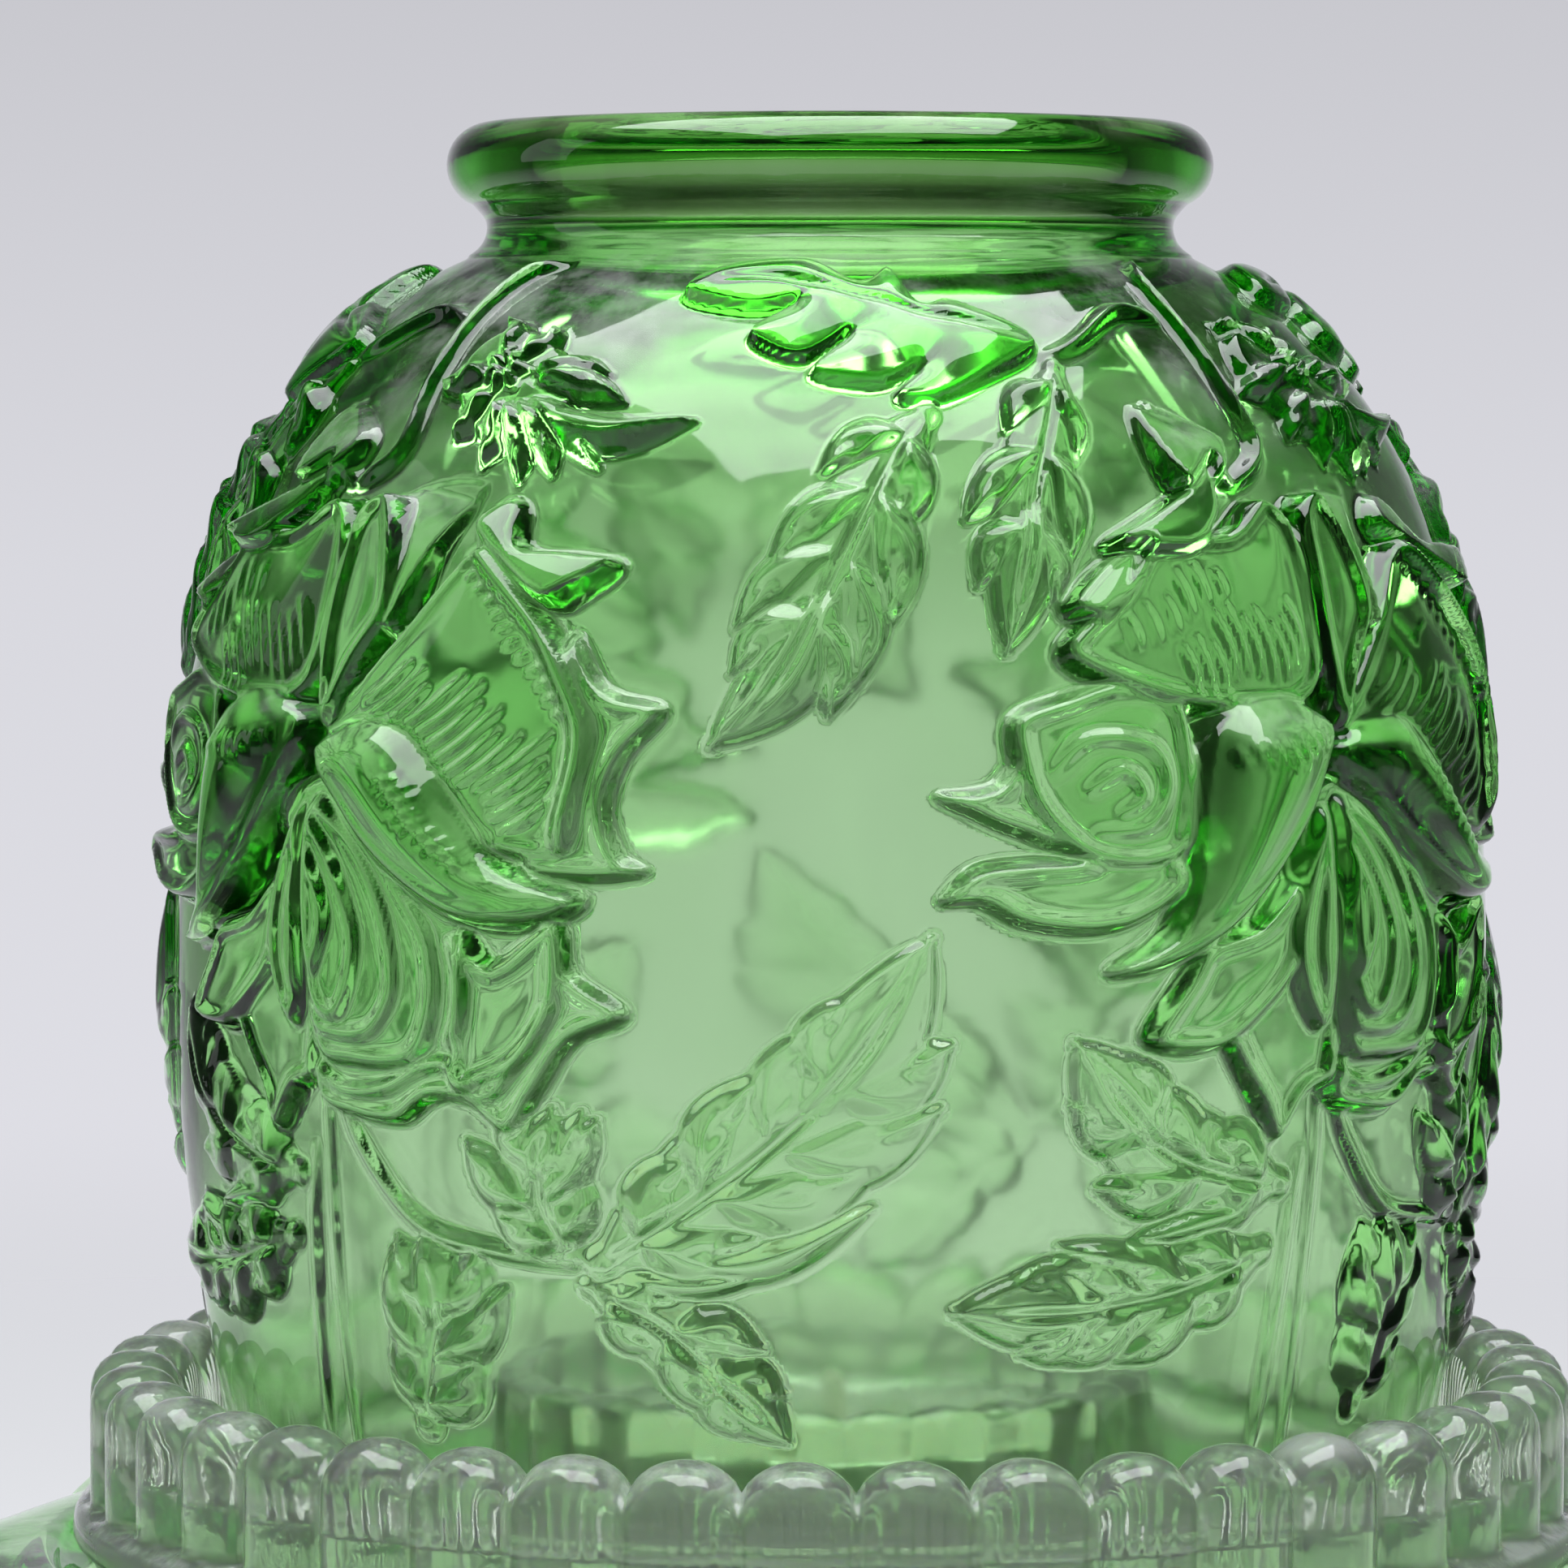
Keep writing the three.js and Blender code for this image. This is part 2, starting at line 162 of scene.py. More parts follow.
class Relief:
    """A height field over one tile of the wall, in millimetres: x runs round it and y down it."""

    def __init__(self, columns, rows):
        self.width = 2 * HALF_TILE * DEGREE
        self.x = (np.arange(columns) / columns - 0.5) * self.width
        self.y = np.linspace(0, WALL_LENGTH, rows)
        self.h = np.zeros((rows, columns))

    def window(self, points, margin):
        """The rows and columns near the points, and each cell's place, with the tile's edges joined."""
        low, high = points.min(0) - margin, points.max(0) + margin
        middle = (low[0] + high[0]) / 2
        x = (self.x - middle + self.width / 2) % self.width - self.width / 2 + middle
        columns = np.where((x >= low[0]) & (x <= high[0]))[0]
        rows = np.where((self.y >= low[1]) & (self.y <= high[1]))[0]
        gx, gy = np.meshgrid(x[columns], self.y[rows])
        return np.ix_(rows, columns), np.stack([gx, gy], -1)

    @staticmethod
    def nearest(spots, line):
        """Each spot's distance to a polyline, and the share of its length at the nearest point."""
        a, b = line[:-1], line[1:]
        ab = b - a
        length = np.maximum(np.hypot(*ab.T), 1e-9)
        before = np.concatenate([[0], np.cumsum(length)[:-1]])
        best = np.full(spots.shape[:2], np.inf)
        share = np.zeros_like(best)
        for i in range(len(a)):
            rel = spots - a[i]
            t = np.clip((rel @ ab[i]) / length[i] ** 2, 0, 1)
            off = rel - t[..., None] * ab[i]
            d = np.hypot(off[..., 0], off[..., 1])
            closer = d < best
            best = np.where(closer, d, best)
            share = np.where(closer, (before[i] + t * length[i]) / length.sum(), share)
        return best, share

    @staticmethod
    def inside(spots, outline):
        """Which spots lie inside a closed outline."""
        x, y = spots[..., 0], spots[..., 1]
        odd = np.zeros(x.shape, bool)
        for (x1, y1), (x2, y2) in zip(outline, np.roll(outline, -1, 0)):
            if y1 == y2:
                continue
            odd ^= ((y1 > y) != (y2 > y)) & (x < (x2 - x1) * (y - y1) / (y2 - y1) + x1)
        return odd

    def over(self, cells, mask, surface):
        """Lays a surface over what is there, where the mask is 1."""
        self.h[cells] = self.h[cells] * (1 - mask) + surface * mask

    def petal(self, outline, height, crown=0.5, edge=0.9, rim=0.0, tilt=(0, 0), belly=2.5, soft=10):
        """A petal laid over what is below it, domed by crown and with its rim turned up."""
        shape = curve(outline, 5, closed=True)
        cells, spots = self.window(shape, edge)
        d = self.nearest(spots, np.vstack([shape, shape[:1]]))[0]
        signed = np.where(self.inside(spots, shape), d, -d)
        rel = spots - shape.mean(0)
        surface = height + soften(crown * (1 - np.exp(-np.maximum(signed, 0) / belly)), soft)
        surface += rel @ np.array(tilt, float)
        surface += rim * np.exp(-(((signed - RIM_INSET) / RIM_WIDTH) ** 2))
        self.over(cells, smoothstep(-edge / 2, edge / 2, signed), np.maximum(surface, LOWEST_PETAL))

    def ridge(self, points, height, width, ends=0.25):
        """A rounded line that stands on what is below it and thins towards its ends."""
        line = curve(points, 6)
        cells, spots = self.window(line, 3 * width)
        d, share = self.nearest(spots, line)
        taper = np.clip(np.minimum(share, 1 - share) / max(ends, 1e-3), 0, 1) ** 0.6
        self.h[cells] += height * np.exp(-((d / width) ** 2)) * taper

    def striae(self, ends, count, run, height=0.24, width=0.3):
        """Fine pressed lines, side by side from one end to the other, each of them one run long."""
        first, last, run = (np.array(v, float) for v in (*ends, run))
        for k in range(count):
            share = k / (count - 1)
            start = first + (last - first) * share + run * 0.12 * math.sin(5.1 * k)
            length = 0.55 + 0.45 * math.sin(math.pi * (0.15 + 0.7 * share)) + 0.12 * math.sin(2.3 * k)
            bend = np.array([-run[1], run[0]]) * 0.05
            self.ridge([start, start + run * length / 2 + bend, start + run * length], height, width, 0.4)

    def leaflet(self, line, width, height, dent=0.0):
        """One drop-shaped lobe from its base to its tip, raised where it stands above what is there."""
        line = curve(line, 6)
        cells, spots = self.window(line, width + 1)
        d, share = self.nearest(spots, line)
        limit = width * np.sin(np.pi * np.clip(share, 0.03, 0.985) ** 0.85) ** 0.75
        signed = limit - d
        dome = height * (0.4 + 0.6 * smoothstep(0, 0.9 * width, signed))
        dome -= dent * height * np.exp(-((d / (0.45 * width)) ** 2) - ((share - 0.62) / 0.22) ** 2)
        self.h[cells] = np.maximum(self.h[cells], dome * smoothstep(-0.35, 0.4, signed))

    def frond(self, midrib, pairs, reach, girth, height, spread=38, blade=0.45, left=1.0, right=1.0):
        """A leaf cut into pairs of lobes along a midrib that runs from its base to its tip."""
        line = curve(midrib, 10)
        along = lengths_along(line)

        def at(share):
            return np.array([np.interp(share * along[-1], along, line[:, i]) for i in (0, 1)])

        self.leaflet(midrib, reach * blade, height * 0.72)
        for k in range(pairs):
            share = 0.1 + 0.5 * k / max(pairs - 1, 1)
            here = at(share)
            course = math.atan2(*(at(share + 0.08) - here)[::-1])
            size = reach * (0.4 + 0.7 * math.sin(math.pi * (0.2 + 1.2 * (share - 0.1))))
            for side, part in ((-1, left), (1, right)):
                wide = course + side * math.radians(spread + 4 * math.sin(3 * k + side))
                narrow = course + side * math.radians(spread - 16)
                middle = here + 0.5 * size * part * np.array([math.cos(wide), math.sin(wide)])
                tip = middle + 0.55 * size * part * np.array([math.cos(narrow), math.sin(narrow)])
                lobe_height = height * (0.92 + 0.08 * math.sin(2 * k))
                self.leaflet([here, middle, tip], girth * part, lobe_height, 0.35)
        self.leaflet([at(0.5), at(0.75), at(1)], girth * 1.35, height, 0.15)
        self.ridge(midrib, -0.26 * height, 0.35)


def wall_down(drop):
    """How far down the wall a height below the lip is."""
    return float(np.interp(drop, WALL_DROPS, WALL_DOWN))


SPREAD = 0.96  # degrees of wall to one of the rose's own degrees


def rose(*points):
    """Points as (degrees from the rose's middle, drop below the lip), on the flat tile."""
    return [((SPREAD * a - HALF_TILE) * DEGREE, wall_down(drop)) for a, drop in points]


def panel(*points):
    """Points as (degrees from the panel's middle, drop below the lip), on the flat tile."""
    return [(a * DEGREE, wall_down(drop)) for a, drop in points]


def draw_sprays(r):
    """Stems and leaves, above and below the panel."""
    r.ridge(panel((-43, 66), (-40.5, 70.5), (-34.5, 75.5), (-26.5, 77), (-17.5, 77.7)), 0.55, 0.5)
    r.ridge(panel((-18, 77.8), (-12.5, 81), (-8, 84), (-4.5, 88.5)), 0.45, 0.45)
    r.ridge(panel((44, 70.5), (43, 75), (42.5, 79.5), (41.5, 88.5), (41, 93)), 0.3, 0.5)
    r.ridge(panel((43.8, 14.3), (37, 14), (29, 16.2), (24.5, 17)), 0.8, 0.6)
    r.ridge(panel((52, 10.3), (47, 11.2), (45.4, 14), (45.8, 19), (46.2, 23.5), (41, 26)), 0.9, 0.6,
            ends=0.1)
    # above the panel
    r.petal(panel((-16.5, 13), (-11.3, 11.2), (-2, 10.8), (5, 12.5), (9, 11.5), (11.9, 13.9),
                  (15.8, 13.7), (24.3, 16.2), (17.1, 18.8), (11.2, 20.3), (8, 19.8), (10.6, 18.2),
                  (5.7, 19.1), (-0.6, 18.3), (3.6, 16), (-2, 17.5), (-7.5, 15.8), (-2.4, 13.8), (-8, 14)),
            0.9, 0.8, edge=0.8, belly=1.6)
    r.ridge(panel((24, 16.4), (14, 15.2), (5, 13.8), (-4, 12.6), (-13, 12.6)), -0.4, 0.4)
    r.frond(panel((11, 20.6), (7, 24), (3.5, 29), (0.5, 34), (-3, 39), (-8, 42.6)), 4, 8.2, 2.0, 1.6, 38,
            0.42)
    r.frond(panel((25.5, 17.6), (22.5, 22), (20, 26), (18.3, 31), (16.3, 36.4)), 3, 6.8, 1.7, 1.6, 38,
            0.4)
    r.leaflet(panel((35, 20.5), (38, 23.5), (41.5, 26)), 2.0, 1.1)
    # below the panel
    r.frond(panel((-17.5, 77.5), (-10, 73.5), (-3, 69), (3.5, 63.5), (9.5, 55.5)), 4, 9.0, 2.5, 1.4, 36,
            0.5, 0.9, 1.15)
    r.leaflet(panel((-12, 77), (-4, 76.9), (4.8, 73.4)), 1.6, 1.0)
    r.leaflet(panel((-16, 78), (-10, 78.6), (-3, 77.8)), 1.1, 0.9)
    r.frond(panel((-20, 77), (-22.5, 73), (-21.5, 67.3)), 3, 6.2, 1.8, 1.3, 46, 0.6)
    r.frond(panel((-35.5, 89.5), (-34, 85), (-33, 81), (-34.2, 76.4)), 3, 7.0, 2.1, 1.35, 44, 0.6)
    r.frond(panel((-18.5, 79), (-12.5, 81.3), (-8, 84.5), (-2, 89.3)), 3, 5.6, 1.7, 1.3, 34, 0.5)
    r.frond(panel((41.5, 73), (35.5, 72), (28.5, 69.5), (21.5, 62.6)), 3, 6.6, 2.2, 1.35, 36, 0.55)
    r.leaflet(panel((39, 74.2), (33, 75), (27, 76.2)), 1.1, 1.0)
    r.frond(panel((40, 77.5), (30.5, 79.8), (21, 80.6), (11.8, 80.5)), 4, 6.6, 2.0, 1.35, 36, 0.5)
    r.leaflet(panel((33.5, 79), (26.5, 77.4), (20.5, 76.3)), 1.1, 1.0)


def draw_bud(r):
    """The half-open bud beside each rose: a fan of small petals and one long sepal."""
    r.petal(panel((-40, 18), (-37, 15.6), (-31, 16), (-25, 19), (-26, 22.5), (-31, 23.3), (-36.5, 21.5)),
            0.8, 0.5)
    tips = [(-22, 18.2), (-19.5, 20), (-20.5, 24.4), (-25, 25), (-28.5, 25.4), (-33, 24.4), (-37.5, 22.6),
            (-41.5, 19.6), (-38, 14.8), (-30.5, 15.2)]
    for k, tip in enumerate(tips):
        base = (-32.5 + 0.25 * (tip[0] + 32.5), 19 + 0.25 * (tip[1] - 19))
        bend = ((base[0] + tip[0]) / 2 + 0.8, (base[1] + tip[1]) / 2 - 0.4)
        r.leaflet(panel(base, bend, tip), 1.3, 2.0 + 0.2 * math.sin(2 * k), dent=0.35)
    r.leaflet(panel((-30, 20.8), (-20, 22.4), (-11.6, 21.3)), 1.5, 1.8)
    for k in range(7):
        a = TAU * k / 7
        r.leaflet(panel((-33, 18.6), (-33 + 4.2 * math.cos(a), 18.6 + 2.4 * math.sin(a))), 0.75, 2.2, 0.4)


def draw_outer_petals(r):
    """The rose's lowest and outermost petals."""
    r.petal(rose((1.5, 64), (8, 63), (20, 60), (25.6, 55), (27, 58), (31.5, 60.6), (27, 62.5), (24, 65.8),
                 (21, 68.8), (17, 67), (13.5, 66.9), (10, 68.6), (5, 68.4), (1, 67.4)), 0.75, 0.4,
            rim=0.4)
    r.petal(rose((-12, 60), (-10, 64), (-7.5, 67), (-5.2, 70), (-2, 67), (1, 65.5), (1, 60), (-6, 57)),
            0.8, 0.4, rim=0.4)
    r.petal(rose((-18.5, 62.6), (-15.2, 58.5), (-13, 56.2), (-8, 55), (-3, 52), (-3.5, 57.6),
                 (-7.5, 61.2), (-12.5, 63.4)), 1.1, 0.7, rim=0.45)
    # on the left, two pointed tips and a swirl
    r.petal(rose((-36.2, 53), (-33.5, 50.8), (-29, 50.3), (-24, 50), (-18, 48), (-15, 52), (-19, 54.5),
                 (-24, 55.2), (-29.5, 54.6), (-33, 53.2)), 1.0, 0.5, rim=0.5)
    r.petal(rose((-36.4, 46), (-31.7, 45.4), (-28, 42.5), (-24.5, 49.5), (-30, 48.5), (-33.5, 47.3)), 0.9,
            0.4, rim=0.4)
    r.petal(rose((-30, 41), (-25.5, 39.6), (-20, 38.6), (-14.5, 40.5), (-14.5, 49), (-18, 51),
                 (-24, 50.5), (-28.3, 47.5), (-30, 44)), 1.1, 0.7, rim=0.45)
    r.ridge(rose((-27.5, 45), (-24, 42.6), (-18.5, 43), (-16.8, 45.6), (-19, 48.2), (-24, 48.6)), 0.35,
            0.5)
    r.ridge(rose((-24.5, 46), (-21, 44.6), (-19.2, 46.3), (-21.8, 47.6)), 0.3, 0.45)
    # on the right, one with a notched tip
    r.petal(rose((26, 35.5), (29.5, 39.2), (34.5, 40.4), (31.3, 43.6), (30, 47), (31.2, 50), (33, 51.2),
                 (27.5, 51.7), (22.5, 50.8), (24, 46), (25.5, 40)), 0.9, 0.5, rim=0.4)


def draw_upper_petals(r):
    """The petals that open above the rose's middle, with fine lines pressed in them."""
    r.petal(rose((4.6, 26.6), (13.5, 25.6), (11, 30), (8.5, 36), (6, 33)), 1.1, 0.2, tilt=(-0.04, 0.24))
    r.petal(rose((-12.6, 20.4), (-4, 22.6), (-6.5, 25.8), (-11.5, 26)), 1.3, 0.2, tilt=(0.0, 0.26))
    r.petal(rose((-2.5, 27), (-8, 29.2), (-16, 29.4), (-20.5, 33), (-25.5, 36.8), (-20, 39.4), (-12, 41),
                 (-3, 41), (0.8, 38), (1, 30)), 1.3, 0.8, rim=0.4)
    r.striae(rose((-13.5, 40.2), (-1.5, 38.5)), 10, (-1.6, -5.0))
    r.striae(rose((-19, 37), (-10, 34)), 6, (-0.9, -3.2), 0.15)
    r.petal(rose((-20, 29.8), (-15.5, 28), (-10, 26), (-6.6, 24.4), (-8, 28), (-12, 30.4), (-16, 30.6)),
            2.0, 0.2, tilt=(0.0, 0.32))
    r.petal(rose((-24.6, 33.8), (-20.5, 31), (-17, 30.2), (-18.5, 32.4), (-22, 34.6)), 1.7, 0.2,
            tilt=(0.0, 0.32))
    r.petal(rose((2, 42.8), (5, 39), (9.5, 35.2), (15, 30.5), (18.6, 31.2), (23.6, 34.8), (27.2, 38.8),
                 (28.4, 43.2), (27.5, 47), (26.4, 50.4), (20, 50), (12, 47)), 1.2, 0.8, rim=0.2)
    r.striae(rose((6, 40.6), (21.5, 48.4)), 13, (5.4, -3.9), 0.26, 0.32)
    r.ridge(rose((15.3, 29), (18.5, 31.9), (23.5, 35.4), (26, 38.6), (27.7, 41.1), (28, 43.3),
                 (27.3, 46.1), (26, 49.9)), 1.0, 0.8, ends=0.1)
    r.striae(rose((13.5, 30.5), (25.5, 41)), 13, (1.3, -0.5), 0.2, 0.25)
    r.petal(rose((14.8, 28.8), (16.8, 26.8), (19, 27.2), (20.2, 30), (25, 30.4), (29.6, 31), (26.5, 33),
                 (23.5, 33.8), (18.5, 31.2)), 2.0, 0.15, tilt=(-0.02, 0.34))
    r.petal(rose((1.4, 28), (5, 26.8), (7.4, 30.4), (8.2, 34.6), (5.5, 38), (2, 42.6), (0.4, 38),
                 (0.6, 32)), 1.6, 0.6, rim=0.5)


def draw_heart(r):
    """The rose's heart: folds, one inside another."""
    r.petal(rose((-3, 48), (2, 45.5), (7, 48), (12.5, 51.5), (17, 55), (17.5, 60), (15, 63.4), (10, 65),
                 (4, 65.2), (-0.5, 63), (-3.5, 57)), 1.0, 0.4)
    folds = [
        ((0.6, 47), (6, 48.2), (11, 51.8), (14.7, 56), (15, 61), (12.5, 64.4), (6, 64.8), (1.5, 63.6),
         (0.5, 55)),
        ((0.6, 47.4), (5, 48.4), (8.6, 51.3), (11, 55.4), (11.6, 59.7), (9, 62.8), (4.4, 63.3), (1.2, 61.8),
         (0.4, 54)),
        ((0.6, 48.2), (3.5, 49.5), (6.2, 52.8), (7.8, 56.1), (7.2, 59.7), (5.2, 61.9), (2.2, 61.2),
         (0.8, 57)),
        ((1.0, 50), (3.5, 52.2), (4.6, 54.9), (3.8, 57.6), (2.2, 59.2), (1, 56)),
    ]
    for k, fold in enumerate(folds):
        r.petal(rose(*fold), 1.25 + 0.3 * k, 0.5, 0.7, 0.3, belly=1.6, soft=6)
    r.petal(rose((-0.5, 47.5), (-3, 51), (-4.6, 56), (-3.8, 60), (-1.4, 62.5), (0.2, 60), (0.2, 52)), 1.5,
            0.5, 0.7, 0.3, belly=1.6, soft=6)
    r.petal(rose((-0.6, 51), (-2, 54), (-2.2, 58), (-0.8, 60.6), (0.2, 57)), 1.8, 0.3, 0.6, 0.2,
            belly=1.2, soft=4)
    r.petal(rose((16.8, 55.4), (20, 57.4), (25.6, 54.4), (26.2, 59.5), (24.2, 63), (20.5, 65.2), (16, 66),
                 (16.4, 61)), 1.1, 0.5, rim=0.45)
    r.ridge(rose((16, 55.6), (17.2, 58), (17, 61), (15.6, 63.4)), 0.6, 0.5, ends=0.2)
    r.ridge(rose((1, 64.8), (4, 66.4), (9, 66.2), (15, 64.2), (19, 66.2), (23, 63.4), (25.4, 60)), 0.45,
            0.5, ends=0.1)


def draw_crescents(r):
    """The two thick curled petals in front of the heart."""
    r.petal(rose((-13.5, 42.6), (-12, 41.1), (-9, 40.3), (-5, 40.1), (-1.5, 40.8), (0.4, 42.4),
                 (-1.6, 46.3), (-4.6, 49.8), (-8.2, 53.2), (-12.5, 56), (-17, 57.6), (-21.6, 57.9),
                 (-17, 55.6), (-15.5, 52.6), (-15, 49), (-14.5, 45.4)), 1.6, 3.0, 1.2, 0.0, belly=2.2,
            soft=40)
    r.ridge(rose((-0.6, 42.8), (-2.8, 46.3), (-5.8, 49.8), (-9.2, 52.8), (-13, 55.2), (-18, 56.9)), 0.4,
            0.55)
    r.striae(rose((-11.6, 43.4), (-3, 42.6)), 7, (0.9, 1.9), 0.16, 0.3)
    r.petal(rose((1, 43.4), (5, 41.9), (8.5, 41.6), (11.5, 42.2), (15, 44.9), (18.5, 48.4), (21.5, 50.9),
                 (27.6, 53), (24, 54.8), (18.5, 55), (13.5, 53.4), (8.5, 50.6), (4.5, 47.4), (1.5, 45.2)),
            1.6, 3.0, 1.2, 0.0, belly=2.2, soft=40)
    r.ridge(rose((1.8, 44.6), (4.8, 46.6), (8.5, 49.5), (13.5, 52.3), (18.5, 54), (24.5, 53.9)), 0.4,
            0.55)
    r.striae(rose((12.5, 45.4), (19, 50.6)), 9, (-1.9, 0.9), 0.16, 0.28)


def draw_rose(r):
    """The rose, from its back petals to its front ones. Degrees run from the seam through its middle."""
    draw_outer_petals(r)
    draw_upper_petals(r)
    draw_heart(r)
    draw_crescents(r)


def shade_relief():
    """One quarter of the shade's relief, faded out at the neck and at the foot."""
    r = Relief(TILE_COLUMNS, RELIEF_ROWS)
    draw_sprays(r)
    draw_bud(r)
    draw_rose(r)
    r.ridge(rose((0.4, 62), (0.6, 70), (0.2, 80), (0, 93)), 0.22, 0.4, ends=0.05)
    x, y = np.meshgrid(r.x / r.width * TAU, r.y)
    drift = 0.05 * np.sin(2 * x + y / 9) + 0.04 * np.sin(3 * x - y / 6) + 0.03 * np.sin(5 * x + y / 4)
    fade = smoothstep(0, 3.5, r.y) * smoothstep(WALL_LENGTH, WALL_LENGTH - 2.5, r.y)
    return (RELIEF_GAIN * r.h + drift) * fade[:, None]


# ---- meshes ----


def ring_mesh(name, radius, height, closed=True, mask=None):
    """A mesh from arrays of radius and height, rows by columns. The first row joins the last if closed.

    mask is a share for each row, kept on the mesh as the attribute "part" for the materials.
    """
    rows, columns = radius.shape
    angle = round_columns(columns)
    points = np.stack([radius * np.sin(angle), -radius * np.cos(angle), height], -1).reshape(-1, 3) * MM
    i = np.arange(rows if closed else rows - 1)[:, None]
    j = np.arange(columns)[None, :]
    here, up = i * columns, (i + 1) % rows * columns
    on = (j + 1) % columns
    quads = np.stack([here + j, here + on, up + on, up + j], -1).reshape(-1, 4)
    mesh = bpy.data.meshes.new(name)
    mesh.vertices.add(len(points))
    mesh.vertices.foreach_set("co", points.ravel())
    mesh.loops.add(quads.size)
    mesh.loops.foreach_set("vertex_index", quads.ravel().astype(np.int32))
    mesh.polygons.add(len(quads))
    mesh.polygons.foreach_set("loop_start", np.arange(0, quads.size, 4, dtype=np.int32))
    mesh.polygons.foreach_set("loop_total", np.full(len(quads), 4, dtype=np.int32))
    mesh.polygons.foreach_set("use_smooth", np.ones(len(quads), bool))
    if mask is not None:
        part = mesh.attributes.new("part", "FLOAT", "POINT")
        part.data.foreach_set("value", np.repeat(mask, columns).astype(float))
    mesh.update(calc_edges=True)
    mesh.validate()
    piece = bpy.data.objects.new(name, mesh)
    bpy.context.scene.collection.objects.link(piece)
    return piece


def close_poles(piece):
    """Merges the rings that lie on the axis, so that a turned solid is closed there."""
    b = bmesh.new()
    b.from_mesh(piece.data)
    bmesh.ops.remove_doubles(b, verts=b.verts, dist=2e-6)
    bmesh.ops.recalc_face_normals(b, faces=b.faces)
    b.to_mesh(piece.data)
    b.free()
    piece.data.polygons.foreach_set("use_smooth", np.ones(len(piece.data.polygons), bool))
    piece.data.update()
    return piece


def normals(profile):
    """Outward normals of a profile that runs up its outside and back down its inside."""
    ahead = np.roll(profile, -1, 0) - np.roll(profile, 1, 0)
    out = np.column_stack([ahead[:, 1], -ahead[:, 0]])
    return out / np.maximum(np.hypot(*out.T), 1e-9)[:, None]


def turned(profile, columns):
    """The profile's radii and heights, the same in every column."""
    return [np.repeat(profile[:, i:i + 1], columns, axis=1) for i in (0, 1)]


def round_columns(columns):
    """The angle of each column, in radians from the front."""
    return TAU * np.arange(columns) / columns


def circle(centre, size, start, stop, count):
    """Points along an arc of a circle."""
    a = np.linspace(start, stop, count)
    return np.column_stack([centre[0] + size * np.cos(a), centre[1] + size * np.sin(a)])


def rounded(corners, size, steps=4):
    """A run of corners, each eased by up to size, or by its own third number."""
    p = np.array([c[:2] for c in corners], float)
    eases = [c[2] if len(c) > 2 else size for c in corners]
    out = [p[0]]
    for i in range(1, len(p) - 1):
        before, after = p[i - 1] - p[i], p[i + 1] - p[i]
        reach = min(eases[i], np.hypot(*before) / 2.05, np.hypot(*after) / 2.05)
        a = p[i] + before / np.hypot(*before) * reach
        b = p[i] + after / np.hypot(*after) * reach
        for t in np.linspace(0, 1, steps + 1):
            out.append((1 - t) ** 2 * a + 2 * t * (1 - t) * p[i] + t**2 * b)
    out.append(p[-1])
    return np.array(out)


def filled(profile, step):
    """The profile with points added so that none lie further apart than step."""
    out = []
    for a, b in zip(profile[:-1], profile[1:]):
        count = max(1, math.ceil(np.hypot(*(b - a)) / step))
        out.extend(a + (b - a) * k / count for k in range(count))
    out.append(profile[-1])
    return np.array(out)


def make_shade():
    """The dome shade, from the foot up its outside, over the lip and down its inside."""
    neck_drop = NECK[0][1]
    foot_drop = SHADE_DROP - FOOT_ROUND
    drops = np.linspace(foot_drop, neck_drop, 600)
    wall = evenly(np.column_stack([bare_radius(drops), -drops]), RELIEF_ROWS)
    neck = evenly(curve([(r, -d) for r, d in NECK], 8), 14)[1:]
    bead = circle((BEAD_CENTRE[0], -BEAD_CENTRE[1]), BEAD_RADIUS, BEAD_START, math.pi, 26)
    inner_drops = np.linspace(neck_drop + 0.4, foot_drop, 300)
    inner = bare_radius(inner_drops, BARE - WALL, SKIRT_RADIUS - WALL, DOME_RISE - CROWN_WALL)
    inner = np.maximum(inner, NECK_BORE)
    throat = evenly([(NECK_BORE, -BEAD_RADIUS - 0.5), (NECK_BORE, -neck_drop)], 8)
    inside = evenly(np.column_stack([inner, -inner_drops]), 56)
    heel_centre = (SKIRT_RADIUS - WALL + FOOT_ROUND, -foot_drop)
    toe_centre = (SKIRT_RADIUS - FOOT_ROUND, -foot_drop)
    heel = circle(heel_centre, FOOT_ROUND, math.pi, 1.5 * math.pi, 6)
    toe = circle(toe_centre, FOOT_ROUND, -0.5 * math.pi, 0, 6)
    profile = np.vstack([wall, neck, bead, throat, inside, heel[1:], toe[:-1]])
    tile = np.zeros((len(profile), TILE_COLUMNS))
    turn = round((PANEL_TURN + HALF_TILE) / 360 * TILES * TILE_COLUMNS)
    tile[:RELIEF_ROWS] = np.roll(shade_relief()[::-1], turn, axis=1)
    field = np.tile(tile, (1, TILES))
    n = normals(profile)
    radius = profile[:, :1] + n[:, :1] * field
    height = LIP + profile[:, 1:] + n[:, 1:] * field
    inner_wall = np.zeros(len(profile))
    starts = RELIEF_ROWS + len(neck) + len(bead)
    inner_wall[starts:starts + len(throat) + len(inside)] = 1
    return ring_mesh("relief_shade", radius, height, True, inner_wall)


